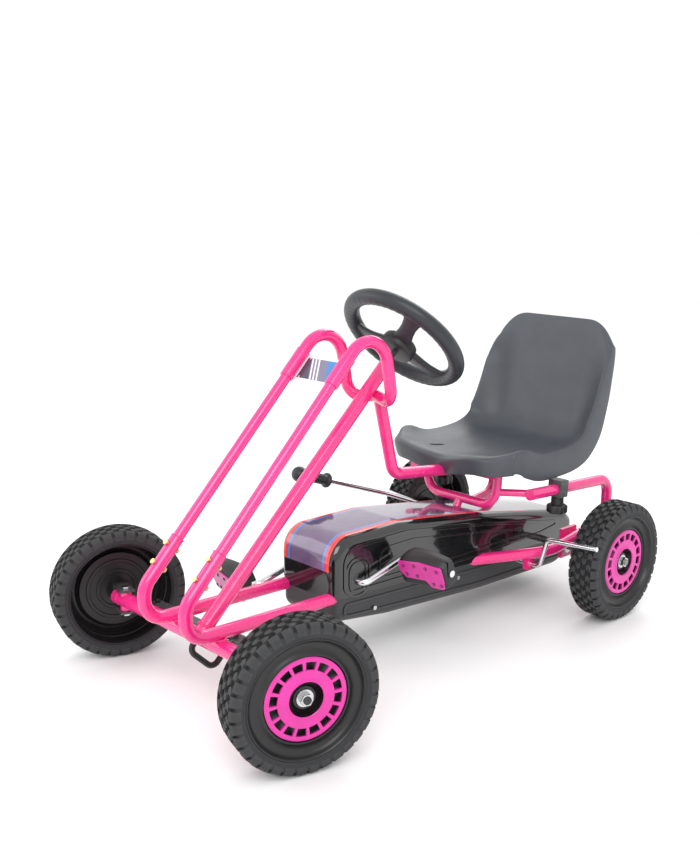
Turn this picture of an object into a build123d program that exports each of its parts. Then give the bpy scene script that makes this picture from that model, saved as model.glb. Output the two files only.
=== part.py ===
from build123d import *

import os
from math import asin, atan2, cos, degrees, radians, sin, sqrt, tan

os.makedirs("parts", exist_ok=True)

# Pedal go kart. Millimetres, +Z up, forward is -Y, the driver's left is +X.
# The origin lies on the floor under the middle of the front axle.

# Overall sizes
wheelbase = 802.5
front_track = 526.0
rear_track = 489.4
wheel_diameter = 230.0

# Clearances
running_gap = 0.05  # radial, a shaft turning in its bore
free_gap = 0.4  # between pieces that move past each other
rod_hole_gap = 1.2  # radial, a rod passing freely through a panel

# Wheels
tyre_width = 61.6
tyre_bead_radius = 91.0
tyre_crown_width = 44.0
tyre_shoulder_drop = 5.0
rim_barrel_wall = 4.0
rim_face_inset = 9.0
rim_step_radius = 63.0
rim_step_wall = 4.0
rim_web_inset = 19.0
rim_web_wall = 4.0
hub_radius = 17.0
hub_face_inset = 15.0
cap_inset = 7.0
cap_thickness = 3.0
cap_hole_radius = 26.0
cap_slot_count = 16
cap_slot_radius = 50.0
cap_slot_length = 12.0
cap_slot_width = 8.0
washer_radius = 13.0
washer_thickness = 2.0
nut_radius = 9.5
nut_height = 8.0

# Front axle and steering
beam_diameter = 26.0
beam_wall = 2.0
beam_half_length = 238.0
kingpin_spacing = 424.0
kingpin_diameter = 10.0
bush_diameter = 20.0
bush_half_height = 17.0
knuckle_plate = 4.0
knuckle_width = 26.0
knuckle_reach = 33.0
stub_diameter = 12.0
steer_arm_length = 55.0
steer_arm_radius = 9.0
steer_pin_diameter = 8.0
tie_bar_width = 16.0
tie_bar_thickness = 4.0
rest_steer = -17.0  # degrees: the wheels stand turned to the driver's right
column_angle = 43.6  # degrees above the floor
column_diameter = 25.0
column_wall = 1.5
column_length = 574.0
column_bush_length = 16.0
shaft_diameter = 10.0
crank_rod_drop = 27.0
crank_rod_arm = 51.0
crank_rod_bend = 12.0
crank_pin_length = 66.0
wheel_hub_reach = 628.0
hand_wheel_diameter = 245.0
hand_wheel_grip = 29.0
hand_wheel_hub_radius = 33.0
hand_wheel_hub_height = 26.0
spoke_width = 30.0
spoke_thickness = 12.0
spoke_angles = (25.0, 155.0, 270.0)

# Frame tubes
rail_diameter = 22.0
rail_wall = 1.4
rail_spacing = 111.0
slender_diameter = 18.8
slender_wall = 1.2
front_slope = 45.8  # degrees, the slanting front tubes
front_line_height = 259.8  # where the slanting tubes cross the axle's plane
hairpin_reach = 62.0
rail_over_beam_weld = 1.0
hairpin_upper_bend = 40.0
hairpin_lower_bend = 37.0
sleeve_top_y = 3.0
sleeve_overlap = 70.0
sleeve_bolt_diameter = 5.0
sleeve_bolt_steps = (16.0, 52.0)
loop_start_y = 230.0
loop_overlap = 48.0
loop_diameter = 21.0
loop_wall = 1.0
loop_swage_diameter = 23.6
loop_swage_length = 56.0
loop_top_bend = 48.0
loop_lower_bend = 27.0
loop_centre_bend = 34.0
tube_weld = 1.0  # how deep one tube's coped end sits in the other's surface
seat_rail_spacing = 296.0
seat_rail_rise = 138.0  # seat rail's front end above the axle
seat_rail_slope = 3.2  # degrees, falling to the rear
seat_rail_front = 150.5  # ahead of the rear axle
seat_rail_rear = 110.0  # behind the rear axle
rail_rear_bend = 32.0
hoop_diameter = 18.0
cross_bar_diameter = 17.0
post_diameter = 16.0
hoop_half_width = 88.0
hoop_ahead = 175.0  # ahead of the rear axle
hoop_bend = 35.0
stay_diameter = 14.0
cross_tube_ahead = 242.5

# Chain drive
chain_pitch = 12.7
ring_teeth = 24
sprocket_teeth = 17
chain_offset = 28.0
chain_roller_radius = 3.9
chain_plate_height = 8.0
chain_plate_thickness = 1.5
sprocket_thickness = 3.0
crank_ahead = 521.5  # crank axis ahead of the rear axle
crank_rise = 38.0  # crank axis above the axles
crank_length = 100.0
crank_rod_diameter = 12.0
crank_arm_offset = 84.0
crank_bend = 13.0
crank_rest_angle = 14.0  # degrees, the left crank above level, pointing back
pedal_inner = 102.0
pedal_outer = 194.0
pedal_depth = 31.0
pedal_height = 54.0
pedal_tilt = 22.0  # degrees, tread faces tipped downwards
pedal_plate_thickness = 2.5
pedal_plate_hole = 2.6
pedal_edge_round = 4.0
rear_axle_diameter = 14.0
bearing_diameter = 28.0
bearing_width = 9.0
bearing_plate_thickness = 7.5
bearing_plate_half_length = 24.0
crank_block_width = 16.0
crank_block_half_length = 18.0

# Chain cover
cover_half_width = 71.0
cover_wall = 2.5
cover_front = 222.0
cover_rear = 112.0  # behind the rear axle

# Seat
seat_half_width = 150.0
seat_wall = 4.0
seat_floor_rise = 197.0  # top of the floor above the axles, clear of the seat tube
clamp_ahead = 62.0
clamp_length = 24.0
clamp_half_width = 15.0
knob_diameter = 41.0
knob_height = 17.0
knob_neck_diameter = 25.0
knob_neck_height = 15.0
knob_stud_diameter = 8.0

# Hand brake
brake_rod_diameter = 9.0
brake_shaft_ahead = 112.5
brake_shaft_drop = 13.0  # below the axles
brake_foot_end = 277.0
brake_rod_bend = 10.0
brake_lever_side = -140.0
brake_lever_bend = 30.0
grip_diameter = 20.0
grip_length = 84.0
grip_ball_diameter = 30.0

# Derived places
axle_z = wheel_diameter / 2
beam_z = axle_z - 1
rail_x = rail_spacing / 2
seat_rail_x = seat_rail_spacing / 2
kingpin_x = kingpin_spacing / 2
wheel_offset = front_track / 2 - kingpin_x
rear_axle_y = wheelbase
crank_y = rear_axle_y - crank_ahead
crank_z = axle_z + crank_rise
rail_z_front = beam_z + (beam_diameter + rail_diameter) / 2 - rail_over_beam_weld
brake_y = rear_axle_y - brake_shaft_ahead
brake_z = axle_z - brake_shaft_drop
column_axis = Vector(0, cos(radians(column_angle)), sin(radians(column_angle)))
column_foot = Vector(0, 0, beam_z)
column_down = Vector(0, sin(radians(column_angle)), -cos(radians(column_angle)))
up = Vector(0, 0, 1)
left = Vector(1, 0, 0)


def save(piece, name):
    piece.part.label = name
    export_step(piece.part, f"parts/{name}.step")


def tube(points, bends, diameter, wall=0.0, cutters=()):
    """A round tube, or a rod where there is no wall, bent round its corners."""
    with BuildPart() as piece:
        with BuildLine() as path:
            if bends:
                FilletPolyline(*points, radius=bends)
            else:
                Line(*points)
        start = path.line @ 0
        with BuildSketch(Plane(origin=start, z_dir=path.line % 0)):
            Circle(diameter / 2)
            if wall:
                Circle(diameter / 2 - wall, mode=Mode.SUBTRACT)
        sweep(path=path.line)
        for cutter in cutters:
            add(cutter.part, mode=Mode.SUBTRACT)
    return piece


def front_line(y, x=rail_x):
    """A point on the slanting front tubes' common centre line."""
    return Vector(x, y, front_line_height + y * tan(radians(front_slope)))


def rail_height(y):
    """Height of the lower rails between the axles."""
    front_y, front_z = cover_front, axle_z + 16
    low_y, low_z = rear_axle_y - 212.5, axle_z - 1
    return front_z + (low_z - front_z) * (y - front_y) / (low_y - front_y)


def column_point(distance):
    return column_foot + column_axis * distance


# Frame -----------------------------------------------------------------

front_dir = Vector(0, cos(radians(front_slope)), sin(radians(front_slope)))
front_normal = Vector(0, -sin(radians(front_slope)), cos(radians(front_slope)))
beam_solid = tube(
    [(-beam_half_length, 0, beam_z), (beam_half_length, 0, beam_z)], None, beam_diameter
)
column_solid = tube([column_foot, column_point(column_length)], None, column_diameter)

rail_low_y = rear_axle_y - 212.5
rail_out_y = rear_axle_y - 77.5
seat_rail_front_y = rear_axle_y - seat_rail_front
seat_rail_end_y = rear_axle_y + seat_rail_rear
seat_rail_front_z = axle_z + seat_rail_rise
rear_corner_z = axle_z + 36


def seat_rail_height(y):
    return seat_rail_front_z - (y - seat_rail_front_y) * tan(radians(seat_rail_slope))


def rail_points(side):
    x = side * rail_x
    wide = side * seat_rail_x
    return [
        front_line(sleeve_top_y, x),
        front_line(-hairpin_reach, x),
        Vector(x, -hairpin_reach, rail_z_front + 2),
        Vector(x, cover_front, rail_height(cover_front)),
        Vector(x, rail_low_y, rail_height(rail_low_y)),
        Vector(wide, rail_out_y, axle_z + 10),
        Vector(wide, seat_rail_end_y, rear_corner_z),
        Vector(wide, seat_rail_end_y, seat_rail_height(seat_rail_end_y)),
        Vector(wide, seat_rail_front_y, seat_rail_front_z),
    ]


rail_bends = [
    hairpin_upper_bend,
    hairpin_lower_bend,
    200,
    90,
    90,
    rail_rear_bend,
    rail_rear_bend,
]


def bolt_spots():
    """Where the slanting tubes are bolted into the rails' sleeves."""
    top = front_line(sleeve_top_y)
    spots = []
    for side in (1, -1):
        for step in sleeve_bolt_steps:
            spot = top - front_dir * step
            spots.append(Vector(side * rail_x, spot.Y, spot.Z))
    return spots


bolt_head_height = 3.5
bolt_head_radius = 4.5
bolt_half_length = rail_diameter / 2 + 2.5

with BuildPart() as bolt_holes:
    for spot in bolt_spots():
        with BuildSketch(Plane(origin=spot, z_dir=front_normal)):
            Circle(sleeve_bolt_diameter / 2)
        extrude(amount=bolt_half_length, both=True)

rail_solids = {}
for side, name in ((1, "left"), (-1, "right")):
    rail_solids[side] = tube(rail_points(side), rail_bends, rail_diameter)
    rail = tube(
        rail_points(side), rail_bends, rail_diameter, rail_wall, [beam_solid, bolt_holes]
    )
    save(rail, f"frame_rail_{name}")

slender_solids = {}
for side, name in ((1, "left"), (-1, "right")):
    x = side * rail_x
    low = front_line(sleeve_top_y, x) - front_dir * sleeve_overlap
    high = front_line(loop_start_y, x) + front_dir * loop_overlap
    slender_solids[side] = tube([low, high], None, slender_diameter)
    upper = tube([low, high], None, slender_diameter, slender_wall, [bolt_holes])
    save(upper, f"upper_tube_{name}")

# The loop: up from the slanting tubes, over the top, down, and round behind
# the steering column, where it is welded.
loop_bottom = column_point(515) + column_down * (
    (column_diameter + loop_diameter) / 2 - tube_weld
)
loop_half = [
    front_line(loop_start_y),
    front_line(342),
    Vector(rail_x - 1, 374, loop_bottom.Z - 8),
]
loop_points = (
    loop_half + [loop_bottom] + [Vector(-p.X, p.Y, p.Z) for p in reversed(loop_half)]
)
loop_bends = [
    loop_top_bend,
    loop_lower_bend,
    loop_centre_bend,
    loop_lower_bend,
    loop_top_bend,
]
loop_solid = tube(loop_points, loop_bends, loop_diameter)
with BuildPart() as swages:
    for side in (1, -1):
        with BuildSketch(Plane(origin=front_line(loop_start_y, side * rail_x), z_dir=front_dir)):
            Circle(loop_swage_diameter / 2)
            Circle(loop_diameter / 2, mode=Mode.SUBTRACT)
        extrude(amount=loop_swage_length)
with BuildPart() as steering_loop:
    add(tube(loop_points, loop_bends, loop_diameter, loop_wall).part)
    add(column_solid.part, mode=Mode.SUBTRACT)
    add(swages.part)
save(steering_loop, "steering_loop")

# Front axle beam, with a bush through each end for the kingpins.
with BuildPart() as bush_solids:
    for side in (1, -1):
        with BuildSketch(Plane.XY.offset(beam_z)):
            with Locations((side * kingpin_x, 0)):
                Circle(bush_diameter / 2)
        extrude(amount=bush_half_height, both=True)
with BuildPart() as shaft_hole:
    with BuildSketch(Plane(origin=column_foot, z_dir=column_axis)):
        Circle(shaft_diameter / 2 + running_gap)
    extrude(amount=beam_diameter, both=True)
axle_beam = tube(
    [(-beam_half_length, 0, beam_z), (beam_half_length, 0, beam_z)],
    None,
    beam_diameter,
    beam_wall,
    [bush_solids, shaft_hole],
)
save(axle_beam, "front_axle_beam")

with BuildPart() as kingpin_bushes:
    add(bush_solids.part)
    with Locations((kingpin_x, 0, beam_z), (-kingpin_x, 0, beam_z)):
        Cylinder(
            kingpin_diameter / 2 + running_gap, 2 * bush_half_height, mode=Mode.SUBTRACT
        )
save(kingpin_bushes, "kingpin_bushes")

# Steering column: a tube welded to the beam, with a plastic bush in its top.
with BuildPart() as steering_column:
    with BuildSketch(Plane(origin=column_foot, z_dir=column_axis)):
        Circle(column_diameter / 2)
        Circle(column_diameter / 2 - column_wall, mode=Mode.SUBTRACT)
    extrude(amount=column_length)
    add(beam_solid.part, mode=Mode.SUBTRACT)
save(steering_column, "steering_column")

with BuildPart() as column_bush:
    with BuildSketch(Plane(origin=column_point(column_length), z_dir=column_axis)):
        Circle(column_diameter / 2 - column_wall)
        Circle(shaft_diameter / 2 + running_gap, mode=Mode.SUBTRACT)
    extrude(amount=-column_bush_length)
save(column_bush, "column_bush")

# Seat tube from the loop's foot back to the seat's cross bar.
hoop_y = rear_axle_y - hoop_ahead
bar_z = axle_z + 166
hoop_bottom_z = axle_z + 107
cross_bar = tube(
    [(-hoop_half_width, hoop_y, bar_z), (hoop_half_width, hoop_y, bar_z)],
    None,
    cross_bar_diameter,
)
seat_tube_top = loop_bottom + Vector(0, 8, -4)
seat_tube = tube(
    [
        seat_tube_top,
        Vector(0, seat_tube_top.Y + 38, axle_z + 188),
        Vector(0, hoop_y, bar_z),
    ],
    [26],
    rail_diameter,
    rail_wall,
    [loop_solid, cross_bar, column_solid],
)
save(seat_tube, "seat_tube")

# Seat support: a cross bar on a U-shaped hoop that stands on a post inside
# the chain cover, with a stay to each seat rail.
cross_tube_y = rear_axle_y - cross_tube_ahead
cross_tube_z = rail_height(cross_tube_y)
hoop_path = [
    Vector(hoop_half_width, hoop_y + 2, bar_z + 6),
    Vector(hoop_half_width, hoop_y - 3, hoop_bottom_z),
    Vector(-hoop_half_width, hoop_y - 3, hoop_bottom_z),
    Vector(-hoop_half_width, hoop_y + 2, bar_z + 6),
]
hoop_solid = tube(hoop_path, [hoop_bend, hoop_bend], hoop_diameter)
post_line = [Vector(0, cross_tube_y, cross_tube_z), Vector(0, hoop_y - 3, hoop_bottom_z)]
post_solid = tube(post_line, None, post_diameter)
stay_y = seat_rail_front_y + 16
both_rails = [rail_solids[1], rail_solids[-1]]
cross_tube = tube(
    [(-rail_x, cross_tube_y, cross_tube_z), (rail_x, cross_tube_y, cross_tube_z)],
    None,
    hoop_diameter,
    0,
    both_rails,
)
with BuildPart() as seat_support:
    add(hoop_solid.part)
    add(cross_bar.part)
    add(post_solid.part)
    add(cross_tube.part)
    for side in (1, -1):
        outer = Vector(side * seat_rail_x, stay_y, seat_rail_height(stay_y))
        inner = Vector(side * hoop_half_width, hoop_y, seat_rail_height(stay_y) - 2)
        stay = tube([inner, outer], None, stay_diameter, 0, [rail_solids[side]])
        add(stay.part)
save(seat_support, "seat_support")

# Emblem plate between the slanting tubes.
emblem_length = 51.0
emblem_thickness = 1.5
emblem_centre = front_line(loop_start_y + 20, 0) - front_normal * 7
with BuildPart() as emblem_plate:
    with BuildSketch(Plane(origin=emblem_centre, x_dir=left, z_dir=front_normal)):
        Rectangle(rail_spacing, emblem_length)
    extrude(amount=emblem_thickness / 2, both=True)
    add(swages.part, mode=Mode.SUBTRACT)
    for side in (1, -1):
        add(slender_solids[side].part, mode=Mode.SUBTRACT)
        add(tube([front_line(loop_start_y - 30, side * rail_x),
                  front_line(loop_start_y + 60, side * rail_x)],
                 None, loop_swage_diameter).part, mode=Mode.SUBTRACT)
save(emblem_plate, "emblem_plate")

with BuildPart() as frame_bolts:
    for spot in bolt_spots():
        with BuildSketch(Plane(origin=spot, z_dir=front_normal)):
            Circle(sleeve_bolt_diameter / 2)
        extrude(amount=bolt_half_length, both=True)
        head_face = spot + front_normal * (rail_diameter / 2 + 1.0)
        nut_face = spot - front_normal * (rail_diameter / 2 + 1.0)
        with BuildSketch(Plane(origin=head_face, z_dir=front_normal)):
            Circle(bolt_head_radius)
        extrude(amount=bolt_head_height)
        with BuildSketch(Plane(origin=nut_face, z_dir=-front_normal)):
            RegularPolygon(bolt_head_radius, 6)
        extrude(amount=bolt_head_height)
save(frame_bolts, "sleeve_bolts")

# Plastic plugs in the open tube ends.
plug_depth = 8.0
plug_rim = 2.0
with BuildPart() as tube_plugs:
    for side in (1, -1):
        beam_end = Vector(side * beam_half_length, 0, beam_z)
        with BuildSketch(Plane(origin=beam_end, z_dir=left * side)):
            Circle(beam_diameter / 2)
        extrude(amount=plug_rim)
        with BuildSketch(Plane(origin=beam_end, z_dir=left * -side)):
            Circle(beam_diameter / 2 - beam_wall)
        extrude(amount=plug_depth)
        rail_end = Vector(side * seat_rail_x, seat_rail_front_y, seat_rail_front_z)
        rail_dir = Vector(0, -cos(radians(seat_rail_slope)), sin(radians(seat_rail_slope)))
        with BuildSketch(Plane(origin=rail_end, z_dir=rail_dir)):
            Circle(rail_diameter / 2)
        extrude(amount=plug_rim)
        with BuildSketch(Plane(origin=rail_end, z_dir=-rail_dir)):
            Circle(rail_diameter / 2 - rail_wall)
        extrude(amount=plug_depth)
save(tube_plugs, "tube_plugs")

# Rear axle bearings hang from plates on the rails' inner sides.
plate_x = seat_rail_x - rail_diameter / 2 + tube_weld
bearing_centre_x = plate_x - bearing_plate_thickness / 2 - 1.5
with BuildPart() as bearing_plates:
    for side in (1, -1):
        plate_top = rear_corner_z + 4
        plate_bottom = axle_z - 20
        with BuildSketch(Plane.YZ.offset(side * plate_x)):
            with Locations((rear_axle_y, (plate_top + plate_bottom) / 2)):
                Rectangle(2 * bearing_plate_half_length, plate_top - plate_bottom)
            with Locations((rear_axle_y, axle_z)):
                Circle(bearing_diameter / 2, mode=Mode.SUBTRACT)
        extrude(amount=-side * bearing_plate_thickness)
        add(rail_solids[side].part, mode=Mode.SUBTRACT)
save(bearing_plates, "bearing_plates")

with BuildPart() as axle_bearings:
    for side in (1, -1):
        with BuildSketch(Plane.YZ.offset(side * bearing_centre_x)):
            with Locations((rear_axle_y, axle_z)):
                Circle(bearing_diameter / 2)
                Circle(rear_axle_diameter / 2 + running_gap, mode=Mode.SUBTRACT)
        extrude(amount=bearing_width / 2, both=True)
save(axle_bearings, "axle_bearings")

# Saddles on the rails carry the pedal crank.
with BuildPart() as crank_saddles:
    for side in (1, -1):
        saddle_top = crank_z + 15
        saddle_bottom = rail_height(crank_y)
        with BuildSketch(Plane.YZ.offset(side * rail_x)):
            with Locations((crank_y, (saddle_top + saddle_bottom) / 2)):
                Rectangle(2 * crank_block_half_length, saddle_top - saddle_bottom)
            with Locations((crank_y, crank_z)):
                Circle(crank_rod_diameter / 2 + running_gap, mode=Mode.SUBTRACT)
        extrude(amount=crank_block_width / 2, both=True)
        add(rail_solids[side].part, mode=Mode.SUBTRACT)
save(crank_saddles, "crank_saddles")

# Brackets under the rails hold the brake shaft.
bracket_width = 12.0
flare_share = (brake_y - rail_low_y) / (rail_out_y - rail_low_y)
bracket_x = rail_x + (seat_rail_x - rail_x) * flare_share
bracket_rail_z = rail_height(rail_low_y) + (axle_z + 10 - rail_height(rail_low_y)) * flare_share
with BuildPart() as brake_brackets:
    for side in (1, -1):
        with BuildSketch(Plane.YZ.offset(side * bracket_x)):
            with Locations((brake_y, (brake_z - 10 + bracket_rail_z) / 2)):
                Rectangle(20, bracket_rail_z - brake_z + 10)
            with Locations((brake_y, brake_z)):
                Circle(brake_rod_diameter / 2 + running_gap, mode=Mode.SUBTRACT)
        extrude(amount=bracket_width / 2, both=True)
        add(rail_solids[side].part, mode=Mode.SUBTRACT)
save(brake_brackets, "brake_brackets")

# Chain cover -----------------------------------------------------------

ring_radius = chain_pitch / 2 / sin(radians(180 / ring_teeth))
sprocket_radius = chain_pitch / 2 / sin(radians(180 / sprocket_teeth))


def side_block(points, bends, half_width, inset=0.0):
    """A block across the kart, from a side view's corners as (y, z) pairs."""
    with BuildPart() as block:
        with BuildSketch(Plane.YZ.offset(-half_width)):
            with BuildLine():
                if bends:
                    FilletPolyline(*points, radius=bends, close=True)
                else:
                    Polyline(*points, close=True)
            make_face()
            if inset:
                offset(amount=-inset, kind=Kind.INTERSECTION)
        extrude(amount=2 * half_width)
    return block


cover_end = rear_axle_y + cover_rear
cover_corners = [
    (crank_y + 80, axle_z - 47),
    (rear_axle_y - 190, axle_z - 66),
    (rear_axle_y + 70, axle_z - 73),
    (cover_end, axle_z - 46),
    (cover_end, axle_z + 22),
    (rear_axle_y + 88, axle_z + 42),
    (rear_axle_y - 190, axle_z + 93),
    (crank_y + 109, crank_z + 84),
    (cover_front, crank_z + 84),
    (cover_front + 4, axle_z - 28),
]
cover_bends = [300, 300, 60, 30, 22, 24, 300, 120, 46, 22]
cover_block = side_block(cover_corners, cover_bends, cover_half_width)
cover_inside = side_block(
    cover_corners, cover_bends, cover_half_width - cover_wall, cover_wall
)
with BuildPart() as cover_shell:
    add(cover_block.part)
    add(cover_inside.part, mode=Mode.SUBTRACT)
    for side in (1, -1):
        add(rail_solids[side].part, mode=Mode.SUBTRACT)
    add(post_solid.part, mode=Mode.SUBTRACT)
    with Locations(
        Location((0, crank_y, crank_z), (0, 90, 0)),
    ):
        Cylinder(
            crank_rod_diameter / 2 + rod_hole_gap,
            3 * cover_half_width,
            mode=Mode.SUBTRACT,
        )
    with Locations(Location((0, rear_axle_y, axle_z), (0, 90, 0))):
        Cylinder(
            rear_axle_diameter / 2 + rod_hole_gap,
            3 * cover_half_width,
            mode=Mode.SUBTRACT,
        )
    with Locations(Location((0, brake_y, brake_z), (0, 90, 0))):
        Cylinder(
            brake_rod_diameter / 2 + rod_hole_gap,
            3 * cover_half_width,
            mode=Mode.SUBTRACT,
        )

lower_zone = side_block(
    [
        (0, 0),
        (wheelbase * 2, 0),
        (wheelbase * 2, axle_z),
        (rear_axle_y, axle_z),
        (rail_low_y, rail_height(rail_low_y)),
        (cover_front, rail_height(cover_front)),
        (0, rail_height(cover_front)),
    ],
    None,
    2 * cover_half_width,
)
with BuildPart() as chain_cover_upper:
    add(cover_shell.part)
    add(lower_zone.part, mode=Mode.SUBTRACT)
save(chain_cover_upper, "chain_cover_upper")

with BuildPart() as chain_cover_lower:
    add(cover_shell.part)
    add(lower_zone.part, mode=Mode.INTERSECT)
save(chain_cover_lower, "chain_cover_lower")

# Screws through the cover's underside.
cover_screw_radius = 4.0
with BuildPart() as cover_screws:
    for y in (crank_y + 40, rear_axle_y - 260, rear_axle_y - 40):
        for side in (1, -1):
            with BuildSketch(Plane.YZ.offset(side * cover_half_width)):
                with Locations((y, axle_z - 20)):
                    Circle(cover_screw_radius)
            extrude(amount=side * 1.5)
save(cover_screws, "cover_screws")

# Chain, sprockets and crank ---------------------------------------------


def toothed_disc(centre_y, centre_z, teeth, radius, bore, name):
    hub = bore + 5
    with BuildPart() as disc:
        with BuildSketch(Plane.YZ.offset(chain_offset)):
            with Locations((centre_y, centre_z)):
                Circle(radius + 3.0)
                with PolarLocations(radius, teeth):
                    Circle(chain_roller_radius + 0.3, mode=Mode.SUBTRACT)
        extrude(amount=sprocket_thickness / 2, both=True)
        with BuildSketch(Plane.YZ.offset(chain_offset)):
            with Locations((centre_y, centre_z)):
                Circle(hub)
        extrude(amount=9, both=True)
        with Locations(Location((chain_offset, centre_y, centre_z), (0, 90, 0))):
            Cylinder(bore, 40, mode=Mode.SUBTRACT)
    save(disc, name)


toothed_disc(crank_y, crank_z, ring_teeth, ring_radius, crank_rod_diameter / 2, "chainring")
toothed_disc(
    rear_axle_y,
    axle_z,
    sprocket_teeth,
    sprocket_radius,
    rear_axle_diameter / 2,
    "rear_sprocket",
)

chain_half = chain_plate_height / 2


def chain_band(grow, near, far):
    """The chain's loop round both sprockets, as a plate between two offsets."""
    with BuildPart() as band:
        with BuildSketch(Plane.YZ.offset(near)):
            with Locations((crank_y, crank_z)):
                Circle(ring_radius + grow)
            with Locations((rear_axle_y, axle_z)):
                Circle(sprocket_radius + grow)
            make_hull()
        extrude(amount=far - near)
    return band


inner_half = sprocket_thickness / 2 + free_gap
with BuildPart() as chain:
    for side in (1, -1):
        near = chain_offset + side * inner_half
        far = near + side * chain_plate_thickness
        add(chain_band(chain_half, near, far).part)
        add(
            chain_band(-chain_half, near - side, far + side).part, mode=Mode.SUBTRACT
        )
    run_dy = rear_axle_y - crank_y
    run_dz = axle_z - crank_z
    run_length = sqrt(run_dy**2 + run_dz**2)
    lean = atan2(run_dz, run_dy)
    spread = asin((ring_radius - sprocket_radius) / run_length)
    for way in (1, -1):
        angle = lean - way * spread
        normal = (-way * sin(angle), way * cos(angle))
        start = (
            crank_y + normal[0] * ring_radius,
            crank_z + normal[1] * ring_radius,
        )
        reach = run_length * cos(spread)
        count = int(reach / chain_pitch)
        with BuildSketch(Plane.YZ.offset(chain_offset)):
            for link in range(5, count - 4):
                along = link * chain_pitch
                with Locations(
                    (start[0] + cos(angle) * along, start[1] + sin(angle) * along)
                ):
                    Circle(2.5)
        extrude(amount=inner_half, both=True)
save(chain, "chain")

arm_reach = Vector(
    0,
    crank_length * cos(radians(crank_rest_angle)),
    crank_length * sin(radians(crank_rest_angle)),
)
crank_centre = Vector(0, crank_y, crank_z)
crank_points = []
for side in (1, -1):
    foot = crank_centre + left * (side * crank_arm_offset)
    eye = foot + arm_reach * side
    tip = Vector(side * (pedal_outer + 4), eye.Y, eye.Z)
    crank_points += [tip, eye, foot] if side == 1 else [foot, eye, tip]
pedal_crank = tube(crank_points, [crank_bend] * 4, crank_rod_diameter)
save(pedal_crank, "pedal_crank")

pedal_back = Vector(0, cos(radians(pedal_tilt)), sin(radians(pedal_tilt)))
pedal_middle = (pedal_inner + pedal_outer) / 2
pedal_width = pedal_outer - pedal_inner
for side, name in ((1, "left"), (-1, "right")):
    centre = crank_centre + arm_reach * side + left * (side * pedal_middle)
    with BuildPart() as pedal:
        with BuildSketch(Plane(origin=centre, x_dir=pedal_back, z_dir=left)):
            RectangleRounded(pedal_depth, pedal_height, pedal_edge_round)
        extrude(amount=pedal_width / 2, both=True)
        with Locations(Location(tuple(centre), (0, 90, 0))):
            Cylinder(
                crank_rod_diameter / 2 + running_gap, 2 * pedal_width, mode=Mode.SUBTRACT
            )
    save(pedal, f"pedal_{name}")
    front_face = centre - pedal_back * (pedal_depth / 2)
    with BuildPart() as plate:
        with BuildSketch(Plane(origin=front_face, x_dir=left, z_dir=-pedal_back)):
            Rectangle(pedal_width - 4, pedal_height - 4)
            with GridLocations(pedal_width / 4.4, pedal_height / 2.2, 4, 2):
                Circle(pedal_plate_hole, mode=Mode.SUBTRACT)
        extrude(amount=pedal_plate_thickness)
    save(plate, f"pedal_plate_{name}")

# Wheels ------------------------------------------------------------------


def wheel_plane(centre, outward):
    """Sketch plane with x along the axle outwards and y up the radius."""
    return Plane(origin=centre, x_dir=outward, z_dir=outward.cross(up))


def make_wheel(name, centre, outward, bore, hub_inner):
    axle = Axis(centre, outward)
    half = tyre_width / 2
    plane = wheel_plane(centre, outward)
    crown = tyre_crown_width / 2
    radius = wheel_diameter / 2
    bead = half - 4
    with BuildPart() as tyre:
        with BuildSketch(plane):
            with BuildLine():
                Polyline(
                    (-bead, tyre_bead_radius),
                    (-half, tyre_bead_radius + 9),
                    (-half + 1, radius - tyre_shoulder_drop),
                    (-crown, radius),
                    (crown, radius),
                    (half - 1, radius - tyre_shoulder_drop),
                    (half, tyre_bead_radius + 9),
                    (bead, tyre_bead_radius),
                    close=True,
                )
            make_face()
        revolve(axis=axle)
    save(tyre, f"{name}_tyre")

    face = half - rim_face_inset
    web = half - rim_web_inset
    barrel = bead
    step = rim_step_radius
    with BuildPart() as rim:
        with BuildSketch(plane):
            with BuildLine():
                Polyline(
                    (-barrel, tyre_bead_radius),
                    (barrel, tyre_bead_radius),
                    (barrel, tyre_bead_radius - rim_barrel_wall),
                    (face, tyre_bead_radius - rim_barrel_wall - 3),
                    (face, step),
                    (web, step),
                    (web, hub_radius),
                    (half - hub_face_inset, hub_radius),
                    (half - hub_face_inset, bore),
                    (-hub_inner, bore),
                    (-hub_inner, hub_radius),
                    (web - rim_web_wall, hub_radius),
                    (web - rim_web_wall, step + rim_step_wall),
                    (face - rim_web_wall, step + rim_step_wall),
                    (face - rim_web_wall, tyre_bead_radius - rim_barrel_wall),
                    (-barrel, tyre_bead_radius - rim_barrel_wall),
                    close=True,
                )
            make_face()
        revolve(axis=axle)
    save(rim, f"{name}_rim")

    cap_plane = Plane(
        origin=centre + outward * (half - cap_inset - cap_thickness),
        x_dir=up,
        z_dir=outward,
    )
    with BuildPart() as cap:
        with BuildSketch(cap_plane):
            Circle(rim_step_radius)
            Circle(cap_hole_radius, mode=Mode.SUBTRACT)
            with PolarLocations(cap_slot_radius, cap_slot_count):
                Rectangle(cap_slot_length, cap_slot_width, mode=Mode.SUBTRACT)
        extrude(amount=cap_thickness)
        ring_plane = Plane(
            origin=centre + outward * web, x_dir=up, z_dir=outward
        )
        with BuildSketch(ring_plane):
            Circle(cap_hole_radius + 3)
            Circle(cap_hole_radius, mode=Mode.SUBTRACT)
        extrude(amount=half - cap_inset - cap_thickness - web)
    save(cap, f"{name}_cap")


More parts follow.
